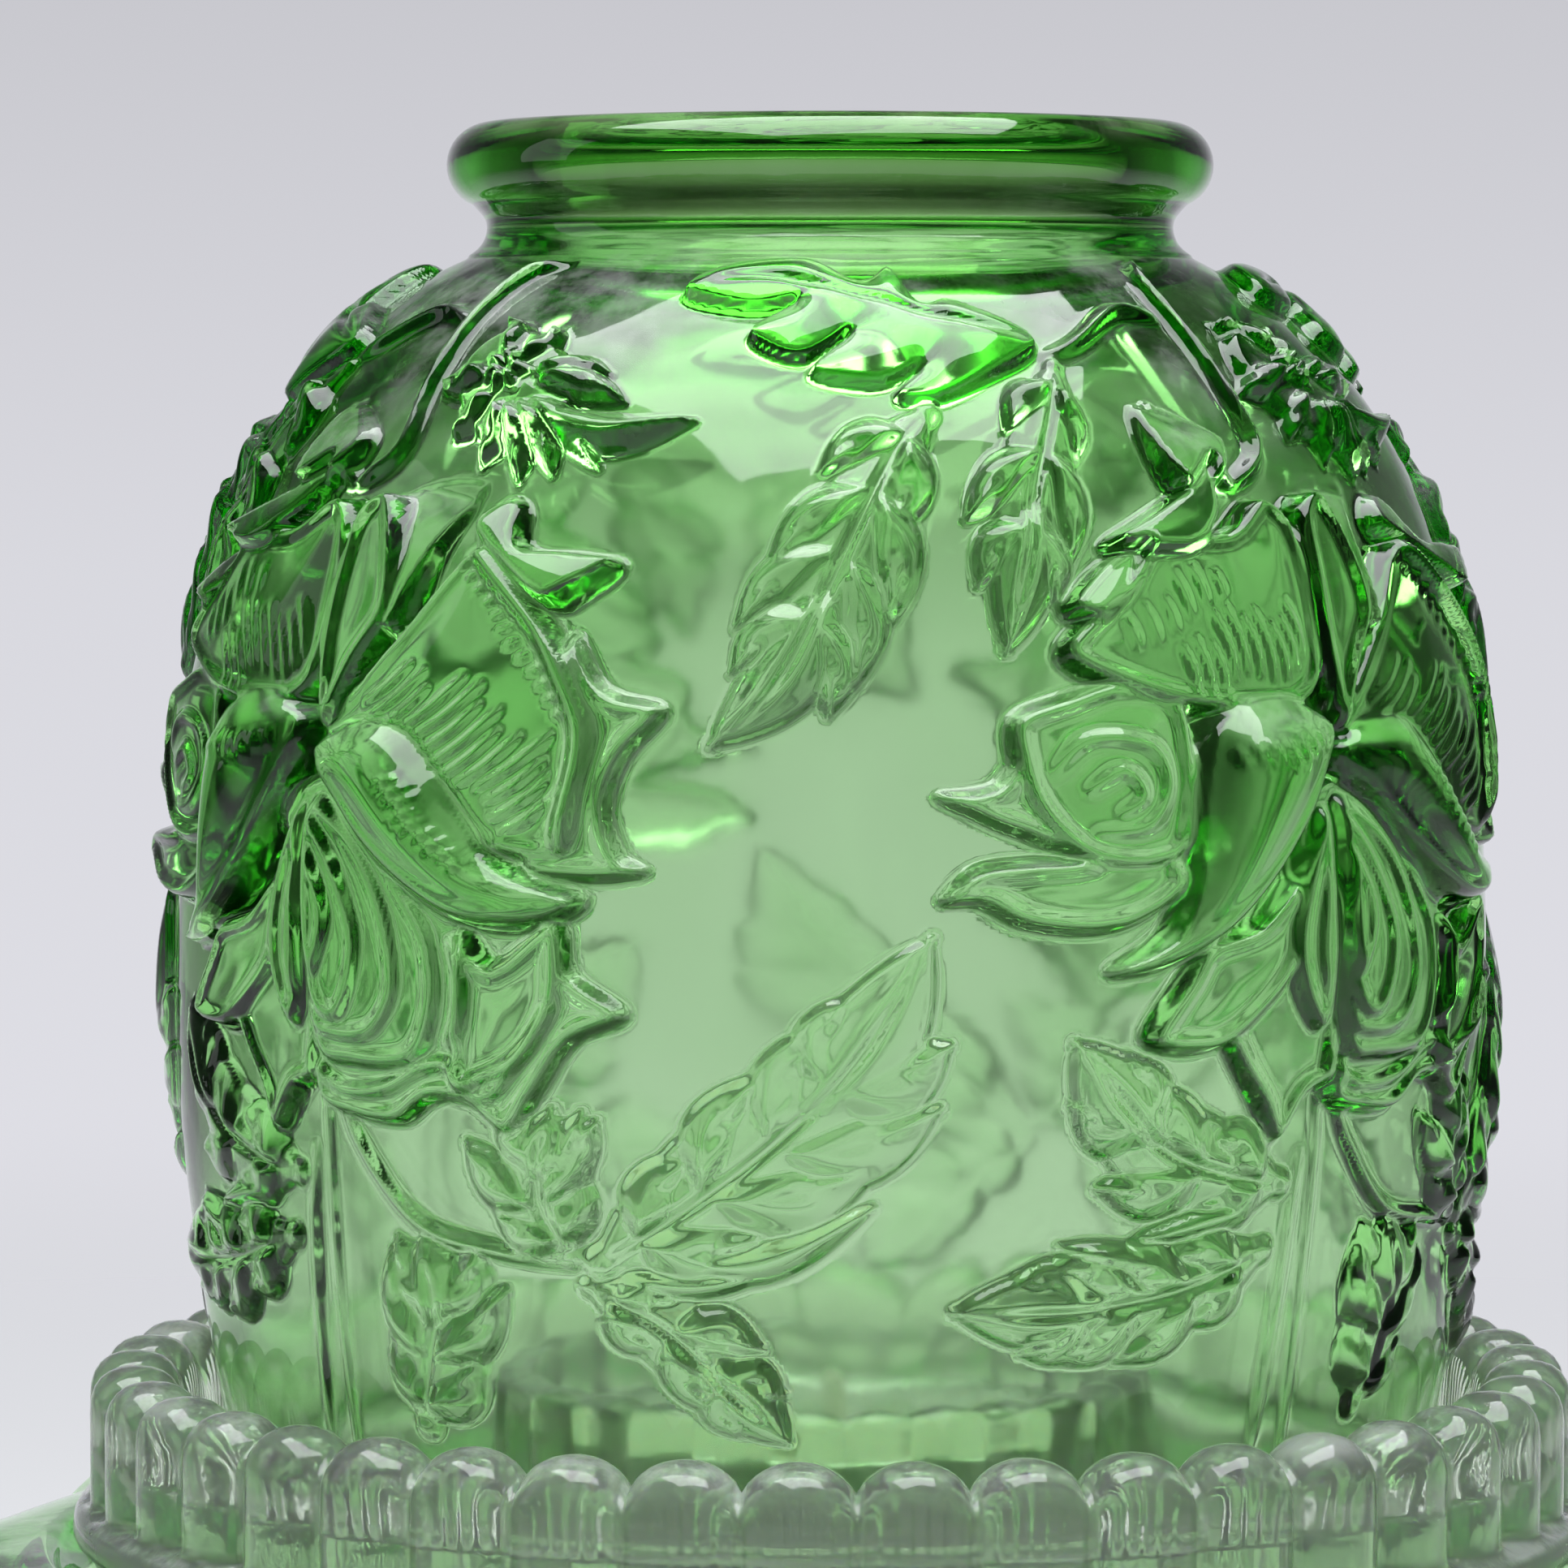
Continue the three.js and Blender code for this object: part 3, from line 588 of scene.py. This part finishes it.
# ---- the clear insert ----
FINGERS = 42
FINGER_TURN = 1.8  # degrees from the front to the nearest groove
FINGER_COLUMNS = 16
FINGER_ROUND = 0.93  # 1 would be a full half circle
OUTER_GROOVE = 1.55
INNER_GROOVE = 0.9
CROWN_NOTCH = 2.1
FINGER_OUTER = FLANGE_RADIUS - 1.2
FINGER_THICK = 7.0
FINGER_INNER = FINGER_OUTER - FINGER_THICK
FLANGE_BOTTOM = LEDGE - 5.3
FLANGE_TOP = LEDGE - 3.1
SEAT = INSERT_FOOT + 8
DISH_FLOOR = INSERT_FOOT + 5
CUP_FLOOR = SHELL_FOOT
CUP_RIM = CUP_FLOOR + 20
CUP_INNER = SHELL_EDGE + 0.8
CUP_OUTER = CUP_INNER + 3.4
BODY_RADIUS = FINGER_INNER - 1
CUP_FLUTES = 28
FLUTE_SINK = 0.35


def insert_section():
    """The insert's section, from the middle of its foot out to the fingers and back to the cup's floor."""
    corners = [
        (0, INSERT_FOOT), (BODY_RADIUS - 6, INSERT_FOOT), (BODY_RADIUS, SEAT - 0.02),
        (BODY_RADIUS + 5.2, SEAT), (FLANGE_RADIUS - 0.9, FLANGE_BOTTOM - 0.3),
        (FLANGE_RADIUS, FLANGE_BOTTOM + 0.3), (FLANGE_RADIUS - 0.2, FLANGE_TOP - 0.2),
        (FINGER_OUTER, FLANGE_TOP + 0.4), (FINGER_OUTER, FINGER_TOP, 4.6),
        (FINGER_INNER + 0.4, FINGER_TOP, 3.4), (FINGER_INNER, LEDGE), (BODY_RADIUS - 6, LEDGE),
        (BODY_RADIUS - 9, DISH_FLOOR, 3), (CUP_OUTER + 0.6, DISH_FLOOR, 1.5),
        (CUP_OUTER - 0.4, CUP_RIM, 1.4), (CUP_INNER, CUP_RIM, 1.2), (CUP_INNER, CUP_FLOOR), (0, CUP_FLOOR),
    ]
    return filled(rounded(corners, 0.7, 6), 0.75)


def finger_grooves(profile):
    """How far the grooves between the fingers push the section out and up, for each column."""
    columns = FINGERS * FINGER_COLUMNS
    phase = np.arange(columns) % FINGER_COLUMNS / FINGER_COLUMNS * 2 - 1
    round_face = 1 - np.sqrt(1 - (FINGER_ROUND * phase) ** 2)
    round_face /= round_face.max()
    r, z = profile[:, :1], profile[:, 1:]
    row = np.arange(len(profile))[:, None]
    flange = np.argmax(profile[:, 0] > FLANGE_RADIUS - 0.05)
    inner_foot = flange + np.argmax(profile[flange:, 0] < FINGER_INNER + 0.05)
    on_finger = (row > flange) & (z > FLANGE_TOP) & (r > FINGER_INNER - 0.3)
    on_inner_wall = (row > inner_foot - 8) & (z > LEDGE + 3) & (r > FINGER_INNER - 0.6)
    above_flange = smoothstep(FLANGE_TOP - 0.2, FLANGE_TOP + 1.0, z)
    outer_face = smoothstep(FINGER_INNER + 2.5, FINGER_OUTER - 1, r)
    crown = smoothstep(FINGER_TOP - FINGER_THICK / 2 - 2, FINGER_TOP, z)
    inner_face = smoothstep(FINGER_OUTER - 2, FINGER_INNER, r) * crown
    sideways = inner_face * INNER_GROOVE - above_flange * outer_face * OUTER_GROOVE
    sideways = np.where(on_finger, sideways, 0) * round_face
    down = np.where(on_finger | on_inner_wall, crown * CROWN_NOTCH, 0) * round_face
    return sideways, -down


def cup_flutes(profile):
    """How far the candle cup's flutes push the section out and up, for each column."""
    wave = np.abs(np.sin(CUP_FLUTES / 2 * round_columns(FINGERS * FINGER_COLUMNS)))
    r, z = profile[:, :1], profile[:, 1:]
    outside = (r < CUP_OUTER + 1.2) & (r > CUP_OUTER - 0.9) & (z > DISH_FLOOR + 1)
    on_rim = (z > CUP_RIM - 1.5) & (r < CUP_OUTER + 1) & (r > CUP_INNER - 0.3)
    depth = 2 * FLUTE_SINK * smoothstep(DISH_FLOOR + 1, DISH_FLOOR + 4, z)
    sideways = np.where(outside, depth * wave - FLUTE_SINK, 0)
    scallop = 0.5 * smoothstep(CUP_RIM - 1.5, CUP_RIM, z)
    return sideways, np.where(on_rim, scallop * (wave - 1), 0)


def make_insert():
    """The clear insert: foot, flange, ring of fingers, ledge, dish and candle cup."""
    profile = insert_section()
    sideways, upward = (a + b for a, b in zip(finger_grooves(profile), cup_flutes(profile)))
    radius = np.maximum(profile[:, :1] + sideways, 0)
    height = profile[:, 1:] + upward
    shift = round(FINGER_TURN / 360 * radius.shape[1])
    radius, height = np.roll(radius, shift, 1), np.roll(height, shift, 1)
    r, z = profile.T
    reeded = 1.0 * ((r > BODY_RADIUS - 2) & (z < FLANGE_BOTTOM + 0.2))
    reeded += 0.2 * ((np.abs(r - FINGER_INNER) < 0.5) & (z > LEDGE + 0.2))
    return close_poles(ring_mesh("scalloped_insert", radius, height, False, reeded))


# ---- the base ----
RUFFLES = 8
RUFFLE_COLUMNS = 96
CREST_RADIUS = FLANGE_RADIUS + 3
BRIM_EDGE = CREST_RADIUS + 18.5
BRIM_DROP = 6.0
BRIM_THICK = 3.4
BRIM_MIDDLE = 68.0
RUFFLE_REACH = 1.5
RUFFLE_HEIGHT = 3.6
CREST_UNDERSIDE = 51.0
MOUTH = BODY_RADIUS + 1.5
SEAT_OUTER = MOUTH + 4.5
BOWL_BELLY = MOUTH + 6.5
BOWL_FLOOR = 12.0
FOOT_RADIUS = 34.0
FOOT_HOLLOW = 3.0
STEM_RADIUS = 30.2
STEM_HEIGHT = 9.0
BASE_RELIEF = 0.62


def base_section():
    """The base's section, from the middle of its foot up its outside, round the brim and down inside."""
    edge = CREST - BRIM_DROP
    foot = rounded([(0, FOOT_HOLLOW), (26.5, FOOT_HOLLOW), (28, 0), (FOOT_RADIUS, 0), (FOOT_RADIUS, 3.4),
                    (31, 7.4), (STEM_RADIUS, STEM_HEIGHT)], 0.9, 5)
    side = curve([(STEM_RADIUS, STEM_HEIGHT), (34.5, 12.2), (48, 20.5), (BOWL_BELLY, 33),
                  (BOWL_BELLY - 0.6, 44), (CREST_RADIUS, CREST_UNDERSIDE)], 24)
    brim = curve([(CREST_RADIUS, CREST_UNDERSIDE), (BRIM_MIDDLE, 50.2),
                  (BRIM_EDGE - 1, edge - BRIM_THICK)], 24)
    lip = rounded([(BRIM_EDGE - 1, edge - BRIM_THICK), (BRIM_EDGE + 0.4, edge - 1.7),
                   (BRIM_EDGE - 1.2, edge)], 1.2, 6)
    top = curve([(BRIM_EDGE - 1.2, edge), (BRIM_MIDDLE, CREST - 2.3), (CREST_RADIUS, CREST),
                 (CREST_RADIUS - 2.4, CREST - 1)], 16)
    seat = rounded([(CREST_RADIUS - 2.4, CREST - 1), (SEAT_OUTER, SEAT), (MOUTH, SEAT), (MOUTH, SEAT - 3)],
                   0.5, 5)
    inside = curve([(MOUTH, SEAT - 3), (49, 34), (43.6, 23.5), (31, 14.6), (19, BOWL_FLOOR)], 16)
    runs = [foot, side[1:], brim[1:], lip[1:], top[1:], seat[1:], inside[1:], [(0, BOWL_FLOOR)]]
    return filled(np.vstack(runs), 1.0)


def base_relief(profile, columns):
    """The rose and leaves again, smaller, once under each ruffle."""
    tile = Relief(RUFFLE_COLUMNS, 220)
    draw_rose(tile)
    draw_sprays(tile)
    first = np.argmax(profile[:, 0] >= 35.5)
    last = np.argmax(profile[:, 0] >= CREST_RADIUS - 0.5)
    band = np.linspace(1, 0, last - first)
    rows = (0.06 + 0.88 * band) * (len(tile.y) - 1)
    fade = smoothstep(0, 0.1, band) * smoothstep(1, 0.9, band)
    field = np.zeros((len(profile), columns))
    field[first:last] = np.tile(tile.h[rows.astype(int)], (1, RUFFLES)) * fade[:, None] * BASE_RELIEF
    return field


def make_base():
    """The green base: a footed bowl with a ruffled brim."""
    profile = base_section()
    columns = RUFFLES * RUFFLE_COLUMNS
    angle = round_columns(columns)
    r, z = profile[:, :1], profile[:, 1:]
    out = np.clip((r - CREST_RADIUS) / (BRIM_EDGE - CREST_RADIUS), 0, 1.1)
    crimp = np.cos(RUFFLES * angle) + 0.22 * np.cos(2 * RUFFLES * angle)
    field = base_relief(profile, columns)
    n = normals(profile)
    radius = r + out**2 * crimp * RUFFLE_REACH + n[:, :1] * field
    height = z + out**1.7 * crimp * RUFFLE_HEIGHT + n[:, 1:] * field
    return close_poles(ring_mesh("ruffled_base", np.maximum(radius, 0), height, False))


# ---- the tealight ----
CRIMPS = 60
CRIMP_DEPTH = 0.14
FOIL = 0.3
WICK_BORE = WICK_RADIUS + 0.3
STRANDS = 6
BRAID_PITCH = 5.5


def make_shell():
    """The tealight's foil shell, with a crimped side and a rolled edge."""
    outer = SHELL_EDGE - 0.7
    floor = WAX_FOOT - 0.3
    corners = [
        (0, SHELL_FOOT), (outer - 4, SHELL_FOOT), (outer - 3.4, SHELL_FOOT + 0.35),
        (outer - 2.4, SHELL_FOOT), (outer, SHELL_FOOT), (outer, SHELL_TOP - 0.9),
        (SHELL_EDGE, SHELL_TOP - 0.8), (SHELL_EDGE, SHELL_TOP), (outer - FOIL, SHELL_TOP),
        (outer - FOIL, floor), (0, floor),
    ]
    columns = CRIMPS * 8
    r, z = turned(filled(rounded(corners, 0.5, 4), 1.2), columns)
    above_foot = smoothstep(SHELL_FOOT + 0.4, SHELL_FOOT + 1.6, z)
    below_edge = smoothstep(SHELL_TOP - 1.2, SHELL_TOP - 2.6, z)
    side = np.where(r > outer - 1, above_foot * below_edge, 0)
    radius = r - side * CRIMP_DEPTH * (1 - np.cos(CRIMPS * round_columns(columns))) / 2
    return close_poles(ring_mesh("foil_shell", np.maximum(radius, 0), z, False))


def make_wax():
    """The wax, with a bore for the wick, a pocket for its sustainer and a gently uneven top."""
    top = WAX_TOP - 0.5
    wide = WICK_BORE + 0.8
    pocket = SUSTAINER_RADIUS + 0.3
    corners = [
        (pocket, WAX_FOOT), (WAX_RADIUS, WAX_FOOT), (WAX_RADIUS, WAX_TOP), (WAX_RADIUS - 1.4, top + 0.05),
        (8, top - 0.1), (3.2, top), (WICK_BORE + 0.5, top + 0.25), (WICK_BORE, top + 0.2),
        (WICK_BORE, COLLAR_TOP + 0.3), (wide, COLLAR_TOP + 0.3), (wide, WAX_FOOT + 0.5),
        (pocket, WAX_FOOT + 0.5), (pocket, WAX_FOOT),
    ]
    columns = 192
    angle = round_columns(columns)
    r, z = turned(filled(rounded(corners, 0.5, 4), 0.8)[:-1], columns)
    on_top = (z > top - 0.4) & (r < WAX_RADIUS - 0.2)
    swell = 0.07 * np.sin(2 * angle + r / 3) + 0.05 * np.sin(5 * angle - r / 2)
    swell *= smoothstep(WICK_BORE + 0.5, 6, r) * smoothstep(WAX_RADIUS, WAX_RADIUS - 3, r)
    return ring_mesh("poured_wax", r, z + np.where(on_top, swell, 0))


def make_wick():
    """The braided wick, drawn in at both ends."""
    columns, rows = 72, 120
    angle = round_columns(columns)
    z = np.repeat(np.linspace(WICK_FOOT, WICK_TOP, rows)[:, None], columns, axis=1)
    turns = TAU * (z - WICK_FOOT) / BRAID_PITCH
    over = np.abs(np.sin(STRANDS / 2 * (angle + turns)))
    under = np.abs(np.sin(STRANDS / 2 * (angle - turns)))
    close = smoothstep(WICK_TOP, WICK_TOP - 0.8, z) * 0.5 + 0.5
    radius = (WICK_RADIUS - 0.22 + 0.2 * (0.75 * over + 0.25 * under)) * close
    radius[0] = radius[-1] = 0
    return close_poles(ring_mesh("braided_wick", radius, z, False))


def make_sustainer():
    """The pressed disc and collar that hold the wick."""
    disc_top = SUSTAINER_FOOT + 0.5
    collar = WICK_BORE + 0.5
    corners = [
        (WICK_BORE, SUSTAINER_FOOT), (SUSTAINER_RADIUS, SUSTAINER_FOOT), (SUSTAINER_RADIUS, disc_top),
        (WICK_BORE + 1.2, disc_top), (collar, SUSTAINER_FOOT + 1), (collar, COLLAR_TOP),
        (WICK_BORE, COLLAR_TOP), (WICK_BORE, SUSTAINER_FOOT),
    ]
    r, z = turned(filled(rounded(corners, 0.15, 3), 0.5)[:-1], 96)
    return ring_mesh("pressed_sustainer", r, z)


# ---- materials ----
GLASS_IOR = 1.52
LINES_TO_A_FINGER = 11


class Look:
    """A node material with a Principled shader, and short ways to add nodes to it."""

    def __init__(self, name):
        self.material = bpy.data.materials.new(name)
        self.material.use_nodes = True
        self.tree = self.material.node_tree
        self.shader = self.tree.nodes["Principled BSDF"]
        self.output = self.tree.nodes["Material Output"]

    def node(self, kind, **settings):
        made = self.tree.nodes.new(kind)
        for key, value in settings.items():
            setattr(made, key, value)
        return made

    def link(self, source, target):
        self.tree.links.new(source, target)

    def set(self, **values):
        """Sets the shader's own sockets, named with _ for a space."""
        for key, value in values.items():
            self.shader.inputs[key.replace("_", " ")].default_value = value

    def places(self):
        """Each point's place on its own object."""
        return self.node("ShaderNodeTexCoord").outputs["Object"]

    def noise(self, scale, detail=4, rough=0.55):
        """Smooth noise, with scale waves to a metre."""
        made = self.node("ShaderNodeTexNoise")
        made.inputs["Scale"].default_value = scale
        made.inputs["Detail"].default_value = detail
        made.inputs["Roughness"].default_value = rough
        self.link(self.places(), made.inputs["Vector"])
        return made.outputs["Fac"]

    def remap(self, value, low, high, to_low, to_high):
        """The value carried smoothly from one range to another, and held at its ends."""
        made = self.node("ShaderNodeMapRange", interpolation_type="SMOOTHSTEP")
        ends = {"From Min": low, "From Max": high, "To Min": to_low, "To Max": to_high}
        for socket, number in ends.items():
            made.inputs[socket].default_value = number
        self.link(value, made.inputs["Value"])
        return made.outputs["Result"]

    def math(self, operation, *values):
        made = self.node("ShaderNodeMath", operation=operation)
        for socket, value in zip(made.inputs, values):
            if isinstance(value, (int, float)):
                socket.default_value = value
            else:
                self.link(value, socket)
        return made.outputs[0]

    def axes(self, vector):
        """The vector's three numbers, as outputs."""
        split = self.node("ShaderNodeSeparateXYZ")
        self.link(vector, split.inputs[0])
        return split.outputs

    def part(self):
        """The mask that ring_mesh keeps on the mesh."""
        return self.node("ShaderNodeAttribute", attribute_name="part").outputs["Fac"]

    def blend(self, share, first, second):
        """A base colour that runs from the first to the second with the share."""
        made = self.node("ShaderNodeMix", data_type="RGBA")
        made.inputs["A"].default_value = (*first, 1)
        made.inputs["B"].default_value = (*second, 1)
        self.link(share, made.inputs["Factor"])
        self.link(made.outputs["Result"], self.shader.inputs["Base Color"])

    def rough(self, share, low, high, least, most):
        """A roughness that runs from least to most as the share goes from low to high."""
        self.link(self.remap(share, low, high, least, most), self.shader.inputs["Roughness"])

    def bump(self, height, distance, strength=1.0):
        made = self.node("ShaderNodeBump")
        made.inputs["Distance"].default_value = distance
        made.inputs["Strength"].default_value = strength
        self.link(height, made.inputs["Height"])
        self.link(made.outputs["Normal"], self.shader.inputs["Normal"])

    def absorb(self, colour, density):
        """Glass that takes up light on its way through, by an even colour and density."""
        made = self.node("ShaderNodeVolumeAbsorption")
        made.inputs["Color"].default_value = (*colour, 1)
        made.inputs["Density"].default_value = density
        self.link(made.outputs["Volume"], self.output.inputs["Volume"])


def dust(look, clean, dusty):
    """Transmission that falls where dust lies in patches, on the faces that look up."""
    normal = look.node("ShaderNodeNewGeometry").outputs["Normal"]
    upward = look.remap(look.axes(normal)["Z"], 0.2, 0.95, 0, 1)
    patches = look.remap(look.noise(60, 6, 0.7), 0.42, 0.66, 0, 1)
    amount = look.math("MULTIPLY", upward, patches)
    look.link(look.remap(amount, 0, 1, clean, dusty), look.shader.inputs["Transmission Weight"])


def green_glass():
    """Green glass with painted shade at the lip (a deeper green there, in uneven patches), and a little
    rough inside the shade.
    """
    look = Look("green_pressed_glass")
    look.set(IOR=GLASS_IOR)
    # painted shade: the base colour runs from white to a deeper green near the lip, in uneven patches, so
    # the lip reads darker, as thick rolled glass looks
    painted_lip_shade = look.remap(look.axes(look.places())["Z"], (LIP - 9.5) * MM, (LIP - 6.5) * MM, 0, 1)
    patches = look.remap(look.noise(90, 5), 0.3, 0.6, 0.8, 1)
    look.blend(look.math("MULTIPLY", painted_lip_shade, patches), (1, 1, 1), (0.4, 0.6, 0.27))
    dust(look, 1.0, 0.82)
    mould = look.remap(look.noise(45), 0.35, 0.75, 0.0, 0.07)
    inner = look.math("MULTIPLY", look.part(), 0.09)
    look.link(look.math("ADD", mould, inner), look.shader.inputs["Roughness"])
    look.bump(look.noise(220, 2), 0.00006, 0.35)
    look.absorb((0.22, 0.86, 0.0), 138)
    return look.material


def clear_glass():
    """Clear glass with a milky haze, and fine upright lines where the mask says."""
    look = Look("clear_pressed_glass")
    look.set(Base_Color=(0.95, 1.0, 0.91, 1), IOR=GLASS_IOR, Subsurface_Weight=1.0)
    look.set(Subsurface_Radius=(0.006, 0.006, 0.005), Subsurface_Scale=1.0)
    dust(look, 0.86, 0.6)
    look.rough(look.noise(70), 0.35, 0.75, 0.02, 0.12)
    place = look.axes(look.places())
    around = look.math("ARCTAN2", place["X"], place["Y"])
    lines = look.math("SINE", look.math("MULTIPLY", around, FINGERS * LINES_TO_A_FINGER))
    waves = look.math("MULTIPLY", look.noise(260, 3), 0.3)
    look.bump(look.math("ADD", look.math("MULTIPLY", lines, look.part()), waves), 0.00018)
    look.absorb((0.50, 0.95, 0.38), 10)
    return look.material


def foil():
    """The tealight's thin drawn aluminium."""
    look = Look("tealight_foil")
    look.set(Base_Color=(0.83, 0.84, 0.86, 1), Metallic=1.0)
    look.rough(look.noise(900, 3), 0.3, 0.7, 0.22, 0.42)
    look.bump(look.noise(1500, 2), 0.00003, 0.6)
    return look.material


def paraffin():
    """Cream wax that lets a little light in."""
    look = Look("paraffin_wax")
    look.set(Subsurface_Weight=0.35, Subsurface_Radius=(0.004, 0.003, 0.002), IOR=1.43)
    look.blend(look.noise(160, 5), (0.88, 0.86, 0.79), (0.94, 0.93, 0.89))
    look.rough(look.noise(300), 0.3, 0.7, 0.3, 0.5)
    look.bump(look.noise(420, 4), 0.00006, 0.5)
    return look.material


def cotton():
    """The wick's matt fibres."""
    look = Look("wick_cotton")
    look.blend(look.noise(2500, 3), (0.72, 0.68, 0.6), (0.9, 0.88, 0.82))
    look.set(Roughness=0.9)
    look.bump(look.noise(4000, 3), 0.00005, 0.8)
    return look.material


def tinplate():
    """The sustainer's dull steel."""
    look = Look("sustainer_tinplate")
    look.set(Base_Color=(0.55, 0.56, 0.58, 1), Metallic=1.0)
    look.rough(look.noise(1200, 3), 0.3, 0.7, 0.3, 0.5)
    look.bump(look.noise(2000, 2), 0.00002, 0.5)
    return look.material


def dress(piece, node, body, material):
    """Gives a piece its material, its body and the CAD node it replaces."""
    piece.data.materials.append(material)
    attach(piece, body)
    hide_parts(node)


# ---- camera, light and floor ----
CAMERA_AWAY = 475.0
CAMERA_SIDE = -3.3
CAMERA_DROP = 17.2
CAMERA_PITCH = 3.65
CAMERA_LENS = 151.3
BACKDROP = (0.735, 0.735, 0.785)
# how bright the backdrop is at each rise, where LEVEL is level with the lamp
BACKDROP_FADE = [(0.08, 1.0), (0.17, 0.94), (0.2, 0.89), (0.255, 0.79), (0.48, 0.52), (0.75, 0.25),
                 (1.0, 0.12)]
LEVEL = 0.2
HALF_LIT = (0.28, 0.285, 0.3)
ROOM = (0.06, 0.062, 0.067)
LIT_POINT = (0, 0, 0.1)
FLOOR_RINGS = [0.0, 0.3, 0.8, 2.0, 6.0]  # metres
FLOOR_FADE = (0.18, 0.8)


def make_camera():
    """The camera, in front of the lamp, looking slightly down on the shade."""
    camera = bpy.data.objects.new("camera", bpy.data.cameras.new("camera"))
    camera.data.lens = CAMERA_LENS
    camera.data.clip_start = 0.01
    camera.location = (CAMERA_SIDE * MM, -CAMERA_AWAY * MM, (LIP - CAMERA_DROP) * MM)
    camera.rotation_euler = (math.radians(90 - CAMERA_PITCH), 0, 0)
    bpy.context.scene.collection.objects.link(camera)
    bpy.context.scene.camera = camera


def soft_box(name, where, size, power, colour):
    """A rectangular light that shines on the middle of the lamp."""
    light = bpy.data.lights.new(name, "AREA")
    light.shape = "RECTANGLE"
    light.size, light.size_y = size
    light.energy = power
    light.color = colour
    lamp = bpy.data.objects.new(name, light)
    lamp.location = where
    lamp.rotation_euler = (Vector(LIT_POINT) - Vector(where)).to_track_quat("-Z", "Y").to_euler()
    bpy.context.scene.collection.objects.link(lamp)


def ramp(tree, source, stops):
    """The colour output of a ramp node with one element for each (place, colour)."""
    made = tree.nodes.new("ShaderNodeValToRGB")
    elements = made.color_ramp.elements
    while len(elements) < len(stops):
        elements.new(0.5)
    for element, (place, colour) in zip(elements, stops):
        element.position = place
        element.color = (*colour, 1)
    tree.links.new(source, made.inputs["Fac"])
    return made.outputs["Color"]


def mixed(tree, first, second, factor=None):
    """Two colours multiplied, or the first turning into the second as the factor rises."""
    made = tree.nodes.new("ShaderNodeMix")
    made.data_type = "RGBA"
    made.inputs["Factor"].default_value = 1
    if factor is None:
        made.blend_type = "MULTIPLY"
    else:
        tree.links.new(factor, made.inputs["Factor"])
    for socket, colour in (("A", first), ("B", second)):
        if isinstance(colour, tuple):
            made.inputs[socket].default_value = (*colour, 1)
        else:
            tree.links.new(colour, made.inputs[socket])
    return made.outputs["Result"]


def make_world():
    """A pale backdrop that dims with height. The lamp sees it behind itself, and a dark room elsewhere."""
    world = bpy.data.worlds.new("studio")
    world.use_nodes = True
    tree = world.node_tree
    split = tree.nodes.new("ShaderNodeSeparateXYZ")
    tree.links.new(tree.nodes.new("ShaderNodeTexCoord").outputs["Generated"], split.inputs[0])
    lift = tree.nodes.new("ShaderNodeMath")
    lift.inputs[1].default_value = LEVEL
    tree.links.new(split.outputs["Z"], lift.inputs[0])
    room = ramp(tree, split.outputs["Y"], [(0.0, ROOM), (0.5, ROOM), (0.86, HALF_LIT), (0.965, BACKDROP)])
    height = ramp(tree, lift.outputs[0], [(place, (share,) * 3) for place, share in BACKDROP_FADE])
    # seen straight on, the backdrop runs all the way round
    seen = tree.nodes.new("ShaderNodeLightPath").outputs["Is Camera Ray"]
    sky = mixed(tree, mixed(tree, room, height), mixed(tree, BACKDROP, height), seen)
    tree.links.new(sky, tree.nodes["Background"].inputs["Color"])
    bpy.context.scene.world = world


def make_floor():
    """A round sheet of pale paper that fades into the backdrop."""
    r, z = turned(np.array([(ring / MM, -0.05) for ring in FLOOR_RINGS]), 96)
    floor = close_poles(ring_mesh("floor", r, z, False))
    look = Look("floor_paper")
    look.set(Base_Color=(0.6, 0.6, 0.61, 1), Roughness=0.8, Specular_IOR_Level=0.1)
    look.bump(look.noise(400, 3), 0.0002, 0.2)
    length = look.node("ShaderNodeVectorMath", operation="LENGTH")
    look.link(look.places(), length.inputs[0])
    mix = look.node("ShaderNodeMixShader")
    look.link(look.remap(length.outputs["Value"], *FLOOR_FADE, 0, 1), mix.inputs[0])
    look.link(look.shader.outputs[0], mix.inputs[1])
    look.link(look.node("ShaderNodeBsdfTransparent").outputs[0], mix.inputs[2])
    look.link(mix.outputs[0], look.output.inputs["Surface"])
    floor.data.materials.append(look.material)


bpy.context.scene.view_settings.view_transform = "Standard"
make_camera()
make_world()
make_floor()
soft_box("overhead", (0.02, -0.05, 1.1), (1.1, 1.1), 24, (0.96, 0.98, 1))
soft_box("left_window", (-1.3, 0.1, 0.5), (0.5, 0.9), 1.0, (0.97, 0.98, 1))

green = green_glass()
dress(make_shade(), "dome_shade", "shade", green)
dress(make_base(), "base_bowl", "base", green)
dress(make_insert(), "candle_insert", "insert", clear_glass())
dress(make_shell(), "tealight_shell", "tealight", foil())
dress(make_wax(), "tealight_wax", "tealight", paraffin())
dress(make_wick(), "wick", "tealight", cotton())
dress(make_sustainer(), "wick_sustainer", "tealight", tinplate())
